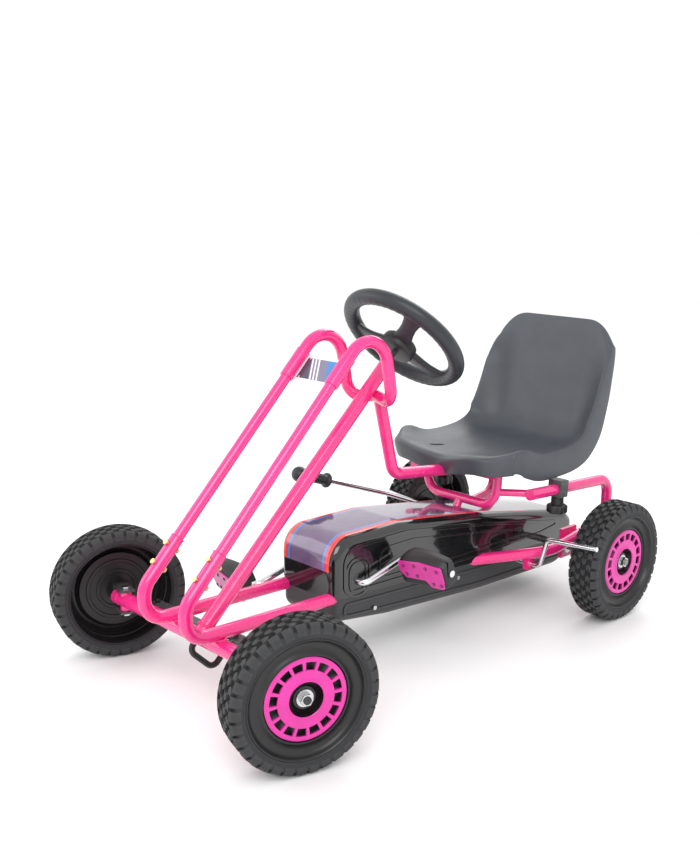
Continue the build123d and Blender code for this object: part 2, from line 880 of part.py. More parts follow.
def axle_nut(face_centre, outward):
    """Washer and hexagon nut standing on a hub's face."""
    nut_face = face_centre + outward * washer_thickness
    with BuildPart() as nut:
        with BuildSketch(Plane(origin=face_centre, z_dir=outward)):
            Circle(washer_radius)
            Circle(stub_diameter / 2, mode=Mode.SUBTRACT)
        extrude(amount=washer_thickness)
        with BuildSketch(Plane(origin=nut_face, z_dir=outward)):
            RegularPolygon(nut_radius, 6)
            Circle(stub_diameter / 2, mode=Mode.SUBTRACT)
        extrude(amount=nut_height)
    return nut


hub_face = tyre_width / 2 - hub_face_inset
axle_stick_out = hub_face + washer_thickness + nut_height + 2

for side, name in ((1, "left"), (-1, "right")):
    turn = radians(rest_steer)
    outward = Vector(side * cos(turn), side * sin(turn), 0)
    kingpin = Vector(side * kingpin_x, 0, axle_z)
    centre = kingpin + outward * wheel_offset
    make_wheel(
        f"front_{name}",
        centre,
        outward,
        stub_diameter / 2 + running_gap,
        wheel_offset - knuckle_reach - knuckle_plate - free_gap,
    )

    # Steering knuckle: a bracket round the bush, the stub axle and a steering arm.
    beam_drop = beam_z - axle_z
    inner_gap = bush_half_height + free_gap
    arm_rear = Vector(-sin(turn), cos(turn), 0)
    section = Plane(origin=kingpin + up * beam_drop, x_dir=outward, z_dir=outward.cross(up))
    with BuildPart() as knuckle:
        with BuildSketch(section):
            with Locations(((knuckle_reach + knuckle_plate - 13) / 2, 0)):
                Rectangle(
                    knuckle_reach + knuckle_plate + 13, 2 * (inner_gap + knuckle_plate)
                )
            with Locations(((knuckle_reach - 14) / 2, 0)):
                Rectangle(knuckle_reach + 14, 2 * inner_gap, mode=Mode.SUBTRACT)
        extrude(amount=knuckle_width / 2, both=True)
        with BuildSketch(Plane(origin=kingpin + outward * knuckle_reach, z_dir=outward)):
            Circle(stub_diameter / 2)
        extrude(amount=wheel_offset - knuckle_reach + axle_stick_out)
        arm_top = kingpin + up * (beam_drop - inner_gap)
        arm_plane = Plane(origin=arm_top, x_dir=outward * side, z_dir=up)
        with BuildSketch(arm_plane):
            Circle(knuckle_width / 2)
            with Locations((0, steer_arm_length)):
                Circle(steer_arm_radius)
            make_hull()
        extrude(amount=-knuckle_plate)
        with BuildSketch(arm_plane):
            with Locations((0, steer_arm_length)):
                Circle(steer_pin_diameter / 2)
        extrude(amount=tie_bar_thickness + free_gap + 5)
        with Locations(kingpin):
            Cylinder(kingpin_diameter / 2, 4 * bush_half_height, mode=Mode.SUBTRACT)
    save(knuckle, f"steering_knuckle_{name}")

    with BuildPart() as kingpin_bolt:
        reach = inner_gap + knuckle_plate
        with BuildSketch(Plane.XY.offset(beam_z - reach - 6)):
            with Locations((kingpin.X, kingpin.Y)):
                Circle(kingpin_diameter / 2)
        extrude(amount=2 * reach + 6)
        with BuildSketch(Plane.XY.offset(beam_z + reach)):
            with Locations((kingpin.X, kingpin.Y)):
                RegularPolygon(kingpin_diameter * 0.8, 6)
        extrude(amount=4)
        with BuildSketch(Plane.XY.offset(beam_z - reach)):
            with Locations((kingpin.X, kingpin.Y)):
                RegularPolygon(kingpin_diameter * 0.8, 6)
        extrude(amount=-5)
    save(kingpin_bolt, f"kingpin_bolt_{name}")

    save(axle_nut(centre + outward * (hub_face + free_gap), outward), f"front_{name}_nut")

    make_wheel(
        f"rear_{name}",
        Vector(side * rear_track / 2, rear_axle_y, axle_z),
        left * side,
        rear_axle_diameter / 2,
        tyre_width / 2 - 6,
    )

rear_half = rear_track / 2
with BuildPart() as rear_axle:
    with BuildSketch(Plane.YZ):
        with Locations((rear_axle_y, axle_z)):
            Circle(rear_axle_diameter / 2)
    extrude(amount=rear_half + hub_face, both=True)
    with BuildSketch(Plane.YZ):
        with Locations((rear_axle_y, axle_z)):
            Circle(stub_diameter / 2)
    extrude(amount=rear_half + axle_stick_out, both=True)
save(rear_axle, "rear_axle")

with BuildPart() as rear_nuts:
    for side in (1, -1):
        nut_seat = Vector(side * (rear_half + hub_face), rear_axle_y, axle_z)
        add(axle_nut(nut_seat, left * side).part)
save(rear_nuts, "rear_axle_nuts")

# Tie bar: joins the steering arms, with a slot for the steering crank -----

turn = radians(rest_steer)
bar_y = steer_arm_length * cos(turn)
bar_shift = -steer_arm_length * sin(turn)
tie_bar_z = beam_z - bush_half_height
open_pivot_gap = 1.5
slot_length = shaft_diameter / sin(radians(column_angle)) + 10
slot_width = shaft_diameter + 2 * rod_hole_gap
with BuildPart() as tie_bar:
    with BuildSketch(Plane.XY.offset(tie_bar_z)):
        with Locations((bar_shift, bar_y)):
            SlotCenterToCenter(kingpin_spacing, tie_bar_width + 2)
            RectangleRounded(slot_width + 14, slot_length + 14, 6)
            RectangleRounded(slot_width, slot_length, slot_width / 2 - 0.1, mode=Mode.SUBTRACT)
        with Locations((bar_shift + kingpin_x, bar_y)):
            Circle(steer_pin_diameter / 2 + running_gap, mode=Mode.SUBTRACT)
        with Locations((bar_shift - kingpin_x, bar_y)):
            Circle(steer_pin_diameter / 2 + open_pivot_gap, mode=Mode.SUBTRACT)
    extrude(amount=tie_bar_thickness)
save(tie_bar, "tie_bar")

# Steering shaft, ending below the beam in a crank whose pin stands in the slot.
crank_turn = asin(steer_arm_length * sin(turn) / crank_rod_arm)
crank_side = column_down * cos(crank_turn) - left * sin(crank_turn)
knee = column_point(-crank_rod_drop)
toe = knee + crank_side * crank_rod_arm
steering_shaft = tube(
    [
        toe + column_axis * crank_pin_length,
        toe,
        knee,
        column_point(wheel_hub_reach + 4),
    ],
    [crank_rod_bend, crank_rod_bend],
    shaft_diameter,
)
save(steering_shaft, "steering_shaft")

rim_radius = (hand_wheel_diameter - hand_wheel_grip) / 2
wheel_centre = column_point(wheel_hub_reach)
driver_right = left * -1
hand_plane = Plane(
    origin=wheel_centre,
    x_dir=driver_right.rotate(Axis((0, 0, 0), column_axis), degrees(crank_turn)),
    z_dir=column_axis,
)
with BuildPart() as steering_wheel:
    with BuildSketch(Plane(origin=wheel_centre, x_dir=hand_plane.x_dir, z_dir=hand_plane.y_dir)):
        with Locations((rim_radius, 0)):
            Circle(hand_wheel_grip / 2)
    revolve(axis=Axis(wheel_centre, column_axis))
    hub_low = wheel_centre - column_axis * (hand_wheel_hub_height + 4)
    with BuildSketch(Plane(origin=hub_low, x_dir=hand_plane.x_dir, z_dir=column_axis)):
        Circle(hand_wheel_hub_radius)
    extrude(amount=hand_wheel_hub_height)
    for angle in spoke_angles:
        spoke_dir = hand_plane.x_dir.rotate(Axis((0, 0, 0), column_axis), angle)
        spoke_plane = Plane(
            origin=hub_low + column_axis * 16, x_dir=column_axis, z_dir=spoke_dir
        )
        with BuildSketch(spoke_plane):
            Rectangle(spoke_thickness, spoke_width)
        extrude(amount=rim_radius)
    with BuildSketch(Plane(origin=hub_low, z_dir=column_axis)):
        Circle(shaft_diameter / 2)
    extrude(amount=hand_wheel_hub_height, mode=Mode.SUBTRACT)
save(steering_wheel, "steering_wheel")

with BuildPart() as wheel_bolt:
    bolt_face = hub_low + column_axis * hand_wheel_hub_height
    with BuildSketch(Plane(origin=bolt_face, z_dir=column_axis)):
        Circle(8)
        Circle(shaft_diameter / 2, mode=Mode.SUBTRACT)
    extrude(amount=9)
    with BuildSketch(Plane(origin=column_point(wheel_hub_reach + 4), z_dir=column_axis)):
        Circle(shaft_diameter / 2)
    extrude(amount=3)
save(wheel_bolt, "wheel_bolt")

# Hand brake: a bent shaft across the kart with a lever on the right --------

foot_z = axle_z + 53
brake_points = [
    Vector(brake_foot_end, brake_y, foot_z),
    Vector(166, brake_y, foot_z - 8),
    Vector(150, brake_y, brake_z),
    Vector(-150, brake_y, brake_z),
    Vector(-166, brake_y, foot_z - 8),
    Vector(-brake_foot_end, brake_y, foot_z),
]
brake_shaft = tube(brake_points, [brake_rod_bend] * 4, brake_rod_diameter)
save(brake_shaft, "brake_shaft")

grip_end = Vector(brake_lever_side, brake_y - 359, brake_z + 191)
lever_points = [
    Vector(brake_lever_side, brake_y, brake_z),
    Vector(brake_lever_side, brake_y - 20, brake_z + 66),
    Vector(brake_lever_side, brake_y - 123, brake_z + 108),
    grip_end,
]
brake_lever = tube(
    lever_points, [brake_lever_bend, 60], brake_rod_diameter, 0, [brake_shaft]
)
save(brake_lever, "brake_lever")

grip_dir = (lever_points[3] - lever_points[2]).normalized()
grip_origin = lever_points[3] - grip_dir * (grip_length - 10)
with BuildPart() as brake_grip:
    with BuildSketch(Plane(origin=grip_origin, z_dir=grip_dir)):
        Circle(grip_diameter / 2)
    extrude(amount=grip_length - 8)
    with BuildSketch(Plane(origin=grip_origin, z_dir=grip_dir)):
        Circle(grip_diameter / 2 + 4)
    extrude(amount=8, taper=20)
    with Locations(lever_points[3]):
        Sphere(grip_ball_diameter / 2)
    add(brake_lever.part, mode=Mode.SUBTRACT)
save(brake_grip, "brake_grip")

# Seat: a moulded bucket on two clamps that slide along the seat rails ------

rail_dir = Vector(0, cos(radians(seat_rail_slope)), -sin(radians(seat_rail_slope)))
clamp_y = rear_axle_y - clamp_ahead
clamp_bore = rail_diameter / 2 + 0.3
clamp_top = 19.0
clamp_low = rail_diameter / 2 + 3.0
with BuildPart() as seat_clamps:
    for side in (1, -1):
        centre = Vector(side * seat_rail_x, clamp_y, seat_rail_height(clamp_y))
        with BuildSketch(Plane(origin=centre, x_dir=left, z_dir=rail_dir)):
            with Locations((0, (clamp_low - clamp_top) / 2)):
                Rectangle(2 * clamp_half_width, clamp_top + clamp_low)
            Circle(clamp_bore, mode=Mode.SUBTRACT)
        extrude(amount=clamp_length / 2, both=True)
        with BuildSketch(Plane.XY.offset(seat_rail_height(clamp_y) - 40)):
            with Locations((side * seat_rail_x, clamp_y)):
                Circle(knob_stud_diameter / 2 + running_gap)
        extrude(amount=30, mode=Mode.SUBTRACT)
save(seat_clamps, "seat_clamps")


def seat_block(points, half_width):
    """A block across the seat, from corners measured from the rear axle."""
    return side_block(
        [(rear_axle_y + y, axle_z + z) for y, z in points], None, half_width
    )


seat_body = seat_block(
    [
        (-205, 168),
        (-142, 152),
        (-42, 152),
        (64, 170),
        (88, 215),
        (113, 335),
        (126.5, 443),
        (94, 438),
        (78, 335),
        (48, 250),
        (-12, 211),
        (-112, 205),
        (-205, 230),
        (-246, 224),
        (-262, 189),
    ],
    seat_half_width,
)
seat_bowl = seat_block(
    [
        (-300, seat_floor_rise),
        (58, seat_floor_rise),
        (80, 222),
        (106, 335),
        (121, 460),
        (-300, 460),
    ],
    seat_half_width - seat_wall,
)
seat_underside = seat_block(
    [
        (-300, 100),
        (64, 100),
        (56, seat_floor_rise - seat_wall),
        (-300, seat_floor_rise - seat_wall),
    ],
    seat_half_width - seat_wall,
)
with BuildPart() as seat_shell:
    add(seat_body.part)
    add(seat_bowl.part, mode=Mode.SUBTRACT)
    add(seat_underside.part, mode=Mode.SUBTRACT)
    add(seat_clamps.part, mode=Mode.SUBTRACT)
save(seat_shell, "seat_shell")

knob_top = seat_rail_height(clamp_y) - clamp_low - 1.2
for side, name in ((1, "left"), (-1, "right")):
    with BuildPart() as knob:
        with BuildSketch(Plane.XY.offset(knob_top)):
            with Locations((side * seat_rail_x, clamp_y)):
                Circle(knob_neck_diameter / 2)
        extrude(amount=-knob_neck_height)
        with BuildSketch(Plane.XY.offset(knob_top - knob_neck_height)):
            with Locations((side * seat_rail_x, clamp_y)):
                Circle(knob_diameter / 2)
                with PolarLocations(knob_diameter / 2 + 3, 6):
                    Circle(6, mode=Mode.SUBTRACT)
        extrude(amount=-knob_height)
        with BuildSketch(Plane.XY.offset(knob_top)):
            with Locations((side * seat_rail_x, clamp_y)):
                Circle(knob_stud_diameter / 2)
        extrude(amount=3.0)
    save(knob, f"seat_knob_{name}")
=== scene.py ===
import math

import bmesh
import bpy
from mathutils import Matrix, Vector


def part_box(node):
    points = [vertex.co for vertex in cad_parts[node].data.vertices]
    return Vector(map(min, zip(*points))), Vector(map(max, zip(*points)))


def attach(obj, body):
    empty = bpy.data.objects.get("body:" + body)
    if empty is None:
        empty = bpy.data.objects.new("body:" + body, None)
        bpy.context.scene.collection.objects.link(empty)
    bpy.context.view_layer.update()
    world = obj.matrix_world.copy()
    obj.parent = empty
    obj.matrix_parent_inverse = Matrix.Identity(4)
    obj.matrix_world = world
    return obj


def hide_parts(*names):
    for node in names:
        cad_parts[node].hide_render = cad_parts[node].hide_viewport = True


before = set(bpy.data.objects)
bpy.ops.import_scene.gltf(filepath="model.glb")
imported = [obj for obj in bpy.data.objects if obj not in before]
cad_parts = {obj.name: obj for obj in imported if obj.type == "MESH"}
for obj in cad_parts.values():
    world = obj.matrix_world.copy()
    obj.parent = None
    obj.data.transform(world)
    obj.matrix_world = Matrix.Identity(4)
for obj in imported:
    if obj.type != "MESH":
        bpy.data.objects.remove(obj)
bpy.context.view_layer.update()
renderLevels = 2
mm = 0.001
print("stage: frame loaded")


def startGroup(name, inputs, outputs):
    group = bpy.data.node_groups.new(name, "ShaderNodeTree")
    for label, kind, value in inputs:
        socket = group.interface.new_socket(label, in_out="INPUT", socket_type=kind)
        if value is not None:
            socket.default_value = value
    for label, kind in outputs:
        group.interface.new_socket(label, in_out="OUTPUT", socket_type=kind)
    return group, group.nodes.new("NodeGroupInput"), group.nodes.new("NodeGroupOutput")


def addNode(tree, kind, settings=None, values=None):
    node = tree.nodes.new(kind)
    for key, value in (settings or {}).items():
        setattr(node, key, value)
    for key, value in (values or {}).items():
        node.inputs[key].default_value = value
    return node


def makeFinishGroup():
    group, start, end = startGroup(
        "surfaceFinish",
        [
            ("Color", "NodeSocketColor", (0.5, 0.5, 0.5, 1)),
            ("Worn", "NodeSocketColor", (0.6, 0.6, 0.6, 1)),
            ("Roughness", "NodeSocketFloat", 0.4),
            ("Vary", "NodeSocketFloat", 0.08),
            ("Grain", "NodeSocketFloat", 900.0),
            ("Bump", "NodeSocketFloat", 0.1),
            ("Wear", "NodeSocketFloat", 0.1),
            ("Round", "NodeSocketFloat", 0.0006),
        ],
        [("Color", "NodeSocketColor"), ("Roughness", "NodeSocketFloat"), ("Normal", "NodeSocketVector")],
    )
    link = group.links.new
    place = addNode(group, "ShaderNodeTexCoord")
    mottle = addNode(group, "ShaderNodeTexNoise", None, {"Scale": 26.0, "Detail": 5.0})
    grain = addNode(group, "ShaderNodeTexNoise", None, {"Detail": 3.0})
    scuff = addNode(group, "ShaderNodeTexNoise", None, {"Scale": 140.0, "Detail": 6.0})
    link(place.outputs["Object"], mottle.inputs["Vector"])
    link(place.outputs["Object"], grain.inputs["Vector"])
    link(place.outputs["Object"], scuff.inputs["Vector"])
    link(start.outputs["Grain"], grain.inputs["Scale"])
    geometry = addNode(group, "ShaderNodeNewGeometry")
    edge = addNode(group, "ShaderNodeMapRange", None, {"From Min": 0.53, "From Max": 0.64})
    link(geometry.outputs["Pointiness"], edge.inputs["Value"])
    broken = addNode(group, "ShaderNodeMath", {"operation": "MULTIPLY"})
    link(edge.outputs["Result"], broken.inputs[0])
    link(scuff.outputs["Fac"], broken.inputs[1])
    worn = addNode(group, "ShaderNodeMath", {"operation": "MULTIPLY", "use_clamp": True})
    link(broken.outputs[0], worn.inputs[0])
    link(start.outputs["Wear"], worn.inputs[1])
    shade = addNode(group, "ShaderNodeMapRange", None,
                    {"From Min": 0.3, "From Max": 0.7, "To Min": 0.88, "To Max": 1.06})
    link(mottle.outputs["Fac"], shade.inputs["Value"])
    tinted = addNode(group, "ShaderNodeVectorMath", {"operation": "SCALE"})
    link(start.outputs["Color"], tinted.inputs[0])
    link(shade.outputs["Result"], tinted.inputs["Scale"])
    mix = addNode(group, "ShaderNodeMix", {"data_type": "RGBA"})
    link(worn.outputs[0], mix.inputs[0])
    link(tinted.outputs[0], mix.inputs[6])
    link(start.outputs["Worn"], mix.inputs[7])
    link(mix.outputs[2], end.inputs["Color"])
    centred = addNode(group, "ShaderNodeMath", {"operation": "SUBTRACT"}, {1: 0.5})
    link(scuff.outputs["Fac"], centred.inputs[0])
    rough = addNode(group, "ShaderNodeMath", {"operation": "MULTIPLY_ADD"})
    link(centred.outputs[0], rough.inputs[0])
    link(start.outputs["Vary"], rough.inputs[1])
    link(start.outputs["Roughness"], rough.inputs[2])
    link(rough.outputs[0], end.inputs["Roughness"])
    soft = addNode(group, "ShaderNodeBevel", {"samples": 4})
    link(start.outputs["Round"], soft.inputs["Radius"])
    bump = addNode(group, "ShaderNodeBump", None, {"Distance": 0.0004})
    link(start.outputs["Bump"], bump.inputs["Strength"])
    link(grain.outputs["Fac"], bump.inputs["Height"])
    link(soft.outputs["Normal"], bump.inputs["Normal"])
    link(bump.outputs["Normal"], end.inputs["Normal"])
    return group


finishGroup = makeFinishGroup()


def makeMaterial(name, settings):
    material = bpy.data.materials.new(name)
    material.use_nodes = True
    tree = material.node_tree
    shader = tree.nodes["Principled BSDF"]
    for key, value in settings.get("shader", {}).items():
        shader.inputs[key].default_value = value
    finish = tree.nodes.new("ShaderNodeGroup")
    finish.node_tree = finishGroup
    for key in ("Roughness", "Vary", "Grain", "Bump", "Wear", "Round"):
        if key in settings:
            finish.inputs[key].default_value = settings[key]
    finish.inputs["Color"].default_value = (*settings["color"], 1)
    finish.inputs["Worn"].default_value = (*settings.get("worn", settings["color"]), 1)
    for key, socket in (("Color", "Base Color"), ("Roughness", "Roughness"), ("Normal", "Normal")):
        tree.links.new(finish.outputs[key], shader.inputs[socket])
    return material


lacquer = {"Coat Weight": 0.7, "Coat Roughness": 0.06, "Specular IOR Level": 0.5}
looks = {
    "framePaint": {"color": (0.90, 0.020, 0.235), "worn": (0.96, 0.14, 0.40), "Roughness": 0.26, "Vary": 0.1,
                   "Grain": 700.0, "Bump": 0.03, "Wear": 0.15, "shader": lacquer},
    "weldPaint": {"color": (0.86, 0.018, 0.22), "Roughness": 0.34, "Grain": 420.0, "Bump": 0.5, "shader": lacquer},
    "capPink": {"color": (0.70, 0.018, 0.33), "worn": (0.8, 0.08, 0.42), "Roughness": 0.3, "Grain": 1600.0,
                "Bump": 0.08, "Wear": 0.3, "shader": {"Coat Weight": 0.3, "Coat Roughness": 0.15}},
    "tyreRubber": {"color": (0.021, 0.022, 0.025), "worn": (0.075, 0.074, 0.072), "Roughness": 0.68, "Vary": 0.25,
                   "Grain": 1500.0, "Bump": 0.35, "Wear": 0.7, "Round": 0.0009},
    "rimBlack": {"color": (0.010, 0.010, 0.011), "worn": (0.05, 0.05, 0.05), "Roughness": 0.36, "Vary": 0.12,
                 "Grain": 2200.0, "Bump": 0.12, "Wear": 0.3},
    "seatPlastic": {"color": (0.060, 0.067, 0.080), "worn": (0.13, 0.14, 0.16), "Roughness": 0.42, "Vary": 0.14,
                    "Grain": 1900.0, "Bump": 0.3, "Wear": 0.4, "Round": 0.001},
    "gripPlastic": {"color": (0.022, 0.026, 0.031), "worn": (0.06, 0.06, 0.07), "Roughness": 0.38, "Vary": 0.14,
                    "Grain": 2300.0, "Bump": 0.3, "Wear": 0.3},
    "coverSatin": {"color": (0.030, 0.031, 0.034), "worn": (0.09, 0.09, 0.09), "Roughness": 0.4, "Grain": 2100.0,
                   "Bump": 0.25, "Wear": 0.4},
    "blackPlastic": {"color": (0.016, 0.016, 0.018), "worn": (0.06, 0.06, 0.06), "Roughness": 0.44, "Grain": 1900.0,
                     "Bump": 0.28, "Wear": 0.4},
    "blackMetal": {"color": (0.014, 0.014, 0.015), "worn": (0.3, 0.3, 0.31), "Roughness": 0.34, "Grain": 800.0,
                   "Bump": 0.08, "Wear": 0.5},
    "chrome": {"color": (0.80, 0.81, 0.83), "Roughness": 0.09, "Vary": 0.08, "Grain": 500.0, "Bump": 0.02,
               "shader": {"Metallic": 1.0}},
    "zinc": {"color": (0.62, 0.62, 0.63), "worn": (0.8, 0.8, 0.8), "Roughness": 0.26, "Vary": 0.2, "Grain": 1100.0,
             "Bump": 0.1, "Wear": 0.5, "shader": {"Metallic": 1.0}},
    "yellowZinc": {"color": (0.72, 0.52, 0.22), "worn": (0.8, 0.75, 0.6), "Roughness": 0.28, "Vary": 0.2,
                   "Grain": 1100.0, "Bump": 0.1, "Wear": 0.5, "shader": {"Metallic": 1.0}},
    "oiledSteel": {"color": (0.27, 0.26, 0.25), "worn": (0.6, 0.6, 0.6), "Roughness": 0.38, "Vary": 0.3,
                   "Grain": 900.0, "Bump": 0.15, "Wear": 0.6, "shader": {"Metallic": 1.0}},
}
materials = {name: makeMaterial(name, settings) for name, settings in looks.items()}


def axisValue(tree, vector, name):
    split = tree.nodes.new("ShaderNodeSeparateXYZ")
    tree.links.new(vector, split.inputs[0])
    return split.outputs[name]


def bandMask(tree, value, low, high, edge):
    # 1 between low and high, fading over the edge distance
    masks = []
    for limit, rising in ((low, True), (high, False)):
        step = addNode(tree, "ShaderNodeMapRange", None, {
            "From Min": limit - edge, "From Max": limit + edge,
            "To Min": 0.0 if rising else 1.0, "To Max": 1.0 if rising else 0.0})
        tree.links.new(value, step.inputs["Value"])
        masks.append(step.outputs["Result"])
    both = addNode(tree, "ShaderNodeMath", {"operation": "MULTIPLY"})
    tree.links.new(masks[0], both.inputs[0])
    tree.links.new(masks[1], both.inputs[1])
    return both.outputs[0]


def layColor(tree, below, mask, color):
    mix = addNode(tree, "ShaderNodeMix", {"data_type": "RGBA"})
    tree.links.new(mask, mix.inputs[0])
    if isinstance(below, tuple):
        mix.inputs[6].default_value = below
    else:
        tree.links.new(below, mix.inputs[6])
    mix.inputs[7].default_value = color
    return mix.outputs[2]


def makeCoverMaterial():
    material = makeMaterial("coverGloss", {
        "color": (0.007, 0.007, 0.008), "worn": (0.05, 0.05, 0.05), "Roughness": 0.12, "Vary": 0.1,
        "Grain": 500.0, "Bump": 0.03, "Wear": 0.2, "Round": 0.001,
        "shader": {"Coat Weight": 0.8, "Coat Roughness": 0.04}})
    tree = material.node_tree
    shader = tree.nodes["Principled BSDF"]
    place = addNode(tree, "ShaderNodeTexCoord")
    across = addNode(tree, "ShaderNodeMath", {"operation": "ABSOLUTE"})
    tree.links.new(axisValue(tree, place.outputs["Object"], "X"), across.inputs[0])
    along = axisValue(tree, place.outputs["Object"], "Y")
    height = axisValue(tree, place.outputs["Object"], "Z")
    geometry = addNode(tree, "ShaderNodeNewGeometry")
    facing = addNode(tree, "ShaderNodeMath", {"operation": "ABSOLUTE"})
    tree.links.new(axisValue(tree, geometry.outputs["Normal"], "X"), facing.inputs[0])
    printed = bandMask(tree, along, 0.10, 0.86, 0.0004)
    for value, low, high in ((height, 0.180, 0.40), (across.outputs[0], -1.0, 0.058),
                             (facing.outputs[0], -1.0, 0.55)):
        both = addNode(tree, "ShaderNodeMath", {"operation": "MULTIPLY"})
        tree.links.new(printed, both.inputs[0])
        tree.links.new(bandMask(tree, value, low, high, 0.0003), both.inputs[1])
        printed = both.outputs[0]
    haze = addNode(tree, "ShaderNodeTexNoise", None, {"Scale": 34.0, "Detail": 2.0})
    tree.links.new(place.outputs["Object"], haze.inputs["Vector"])
    field = addNode(tree, "ShaderNodeMix", {"data_type": "RGBA"})
    tree.links.new(haze.outputs["Fac"], field.inputs[0])
    field.inputs[6].default_value = (0.10, 0.07, 0.14, 1)
    field.inputs[7].default_value = (0.21, 0.15, 0.27, 1)
    color = field.outputs[2]
    for low, high, tone in ((0.0475, 0.060, (0.80, 0.075, 0.07, 1)), (0.0415, 0.0465, (0.075, 0.25, 0.68, 1)),
                            (0.0465, 0.0475, (0.16, 0.10, 0.17, 1))):
        color = layColor(tree, color, bandMask(tree, across.outputs[0], low, high, 0.0003), tone)
    final = addNode(tree, "ShaderNodeMix", {"data_type": "RGBA"})
    tree.links.new(printed, final.inputs[0])
    plain = shader.inputs["Base Color"].links[0].from_socket
    tree.links.new(plain, final.inputs[6])
    tree.links.new(color, final.inputs[7])
    tree.links.new(final.outputs[2], shader.inputs["Base Color"])
    return material


def makeEmblemMaterial():
    material = makeMaterial("emblemPrint", {
        "color": (0.8, 0.8, 0.82), "Roughness": 0.2, "Bump": 0.03,
        "shader": {"Coat Weight": 0.6, "Coat Roughness": 0.05}})
    tree = material.node_tree
    shader = tree.nodes["Principled BSDF"]
    place = addNode(tree, "ShaderNodeTexCoord")
    across = axisValue(tree, place.outputs["Object"], "X")
    height = axisValue(tree, place.outputs["Object"], "Z")
    low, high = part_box("emblem_plate")
    middle = (low.z + high.z) / 2
    leaning = addNode(tree, "ShaderNodeMath", {"operation": "MULTIPLY_ADD"}, {1: 0.75, 2: -0.75 * middle})
    tree.links.new(height, leaning.inputs[0])
    slanted = addNode(tree, "ShaderNodeMath", {"operation": "ADD"})
    tree.links.new(across, slanted.inputs[0])
    tree.links.new(leaning.outputs[0], slanted.inputs[1])
    color = (0.78, 0.78, 0.80, 1)
    inner = bandMask(tree, height, middle - 0.0148, middle + 0.0148, 0.0002)
    inside = addNode(tree, "ShaderNodeMath", {"operation": "MULTIPLY"})
    tree.links.new(inner, inside.inputs[0])
    tree.links.new(bandMask(tree, across, -0.041, 0.041, 0.0002), inside.inputs[1])
    blueEnd = bandMask(tree, slanted.outputs[0], 0.018, 0.1, 0.0003)
    panel = layColor(tree, (0.20, 0.18, 0.27, 1), blueEnd, (0.05, 0.22, 0.55, 1))
    darkEnd = bandMask(tree, slanted.outputs[0], -0.1, -0.022, 0.0003)
    panel = layColor(tree, panel, darkEnd, (0.05, 0.045, 0.075, 1))
    for at in (-0.020, -0.012, -0.004):
        stripe = bandMask(tree, slanted.outputs[0], at, at + 0.0035, 0.0002)
        panel = layColor(tree, panel, stripe, (0.8, 0.8, 0.82, 1))
    mix = addNode(tree, "ShaderNodeMix", {"data_type": "RGBA"})
    tree.links.new(inside.outputs[0], mix.inputs[0])
    mix.inputs[6].default_value = color
    tree.links.new(panel, mix.inputs[7])
    tree.links.new(mix.outputs[2], shader.inputs["Base Color"])
    return material


materials["coverGloss"] = makeCoverMaterial()
materials["emblemPrint"] = makeEmblemMaterial()

nodeLooks = {
    "framePaint": ["front_axle_beam", "kingpin_bushes", "frame_rail_left", "frame_rail_right", "upper_tube_left",
                   "upper_tube_right", "steering_loop", "steering_column", "seat_tube", "seat_support",
                   "bearing_plates", "crank_saddles", "brake_brackets", "tube_plugs"],
    "emblemPrint": ["emblem_plate"],
    "yellowZinc": ["sleeve_bolts"],
    "zinc": ["kingpin_bolt_left", "kingpin_bolt_right", "front_left_nut", "front_right_nut", "rear_axle_nuts",
             "cover_screws", "axle_bearings"],
    "oiledSteel": ["rear_axle", "rear_sprocket", "chainring", "chain"],
    "blackPlastic": ["column_bush", "seat_knob_left", "seat_knob_right", "pedal_left", "pedal_right"],
    "coverGloss": ["chain_cover_upper"],
    "coverSatin": ["chain_cover_lower"],
    "blackMetal": ["steering_knuckle_left", "steering_knuckle_right", "tie_bar", "steering_shaft", "seat_clamps"],
    "chrome": ["pedal_crank", "brake_shaft", "brake_lever"],
    "capPink": ["pedal_plate_left", "pedal_plate_right", "wheel_bolt"],
    "gripPlastic": ["steering_wheel", "brake_grip"],
    "seatPlastic": ["seat_shell"],
    "rimBlack": [f"{wheel}_rim" for wheel in ("front_left", "front_right", "rear_left", "rear_right")],
    "tyreRubber": [f"{wheel}_tyre" for wheel in ("front_left", "front_right", "rear_left", "rear_right")],
}
for wheel in ("front_left", "front_right", "rear_left", "rear_right"):
    nodeLooks["capPink"].append(f"{wheel}_cap")
for look, names in nodeLooks.items():
    for name in names:
        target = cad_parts[name]
        target.data.materials.clear()
        target.data.materials.append(materials[look])
print("stage: materials")


def finishPiece(bm, name, body, look, replaced=(), matrix=None, modifiers=(), sharp=38):
    bmesh.ops.recalc_face_normals(bm, faces=bm.faces)
    if matrix is not None:
        bmesh.ops.transform(bm, matrix=matrix, verts=bm.verts)
    mesh = bpy.data.meshes.new(name)
    bm.to_mesh(mesh)
    bm.free()
    mesh.polygons.foreach_set("use_smooth", [True] * len(mesh.polygons))
    mesh.set_sharp_from_angle(angle=math.radians(sharp))
    piece = bpy.data.objects.new(name, mesh)
    bpy.context.scene.collection.objects.link(piece)
    mesh.materials.append(materials[look])
    for kind, settings in modifiers:
        modifier = piece.modifiers.new(kind.lower(), kind)
        for key, value in settings.items():
            setattr(modifier, key, value)
    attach(piece, body)
    if replaced:
        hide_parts(*replaced)


def addLathe(bm, profile, segments):
    # profile of (along x, radius) in mm, spun about x
    verts = [bm.verts.new((x * mm, 0, r * mm)) for x, r in profile]
    edges = [bm.edges.new(pair) for pair in zip(verts, verts[1:])]
    edges.append(bm.edges.new((verts[-1], verts[0])))
    bmesh.ops.spin(bm, geom=verts + edges, axis=(1, 0, 0), cent=(0, 0, 0), angle=2 * math.pi,
                   steps=segments, use_merge=True, use_duplicate=False)
    bmesh.ops.remove_doubles(bm, verts=bm.verts, dist=1e-6)


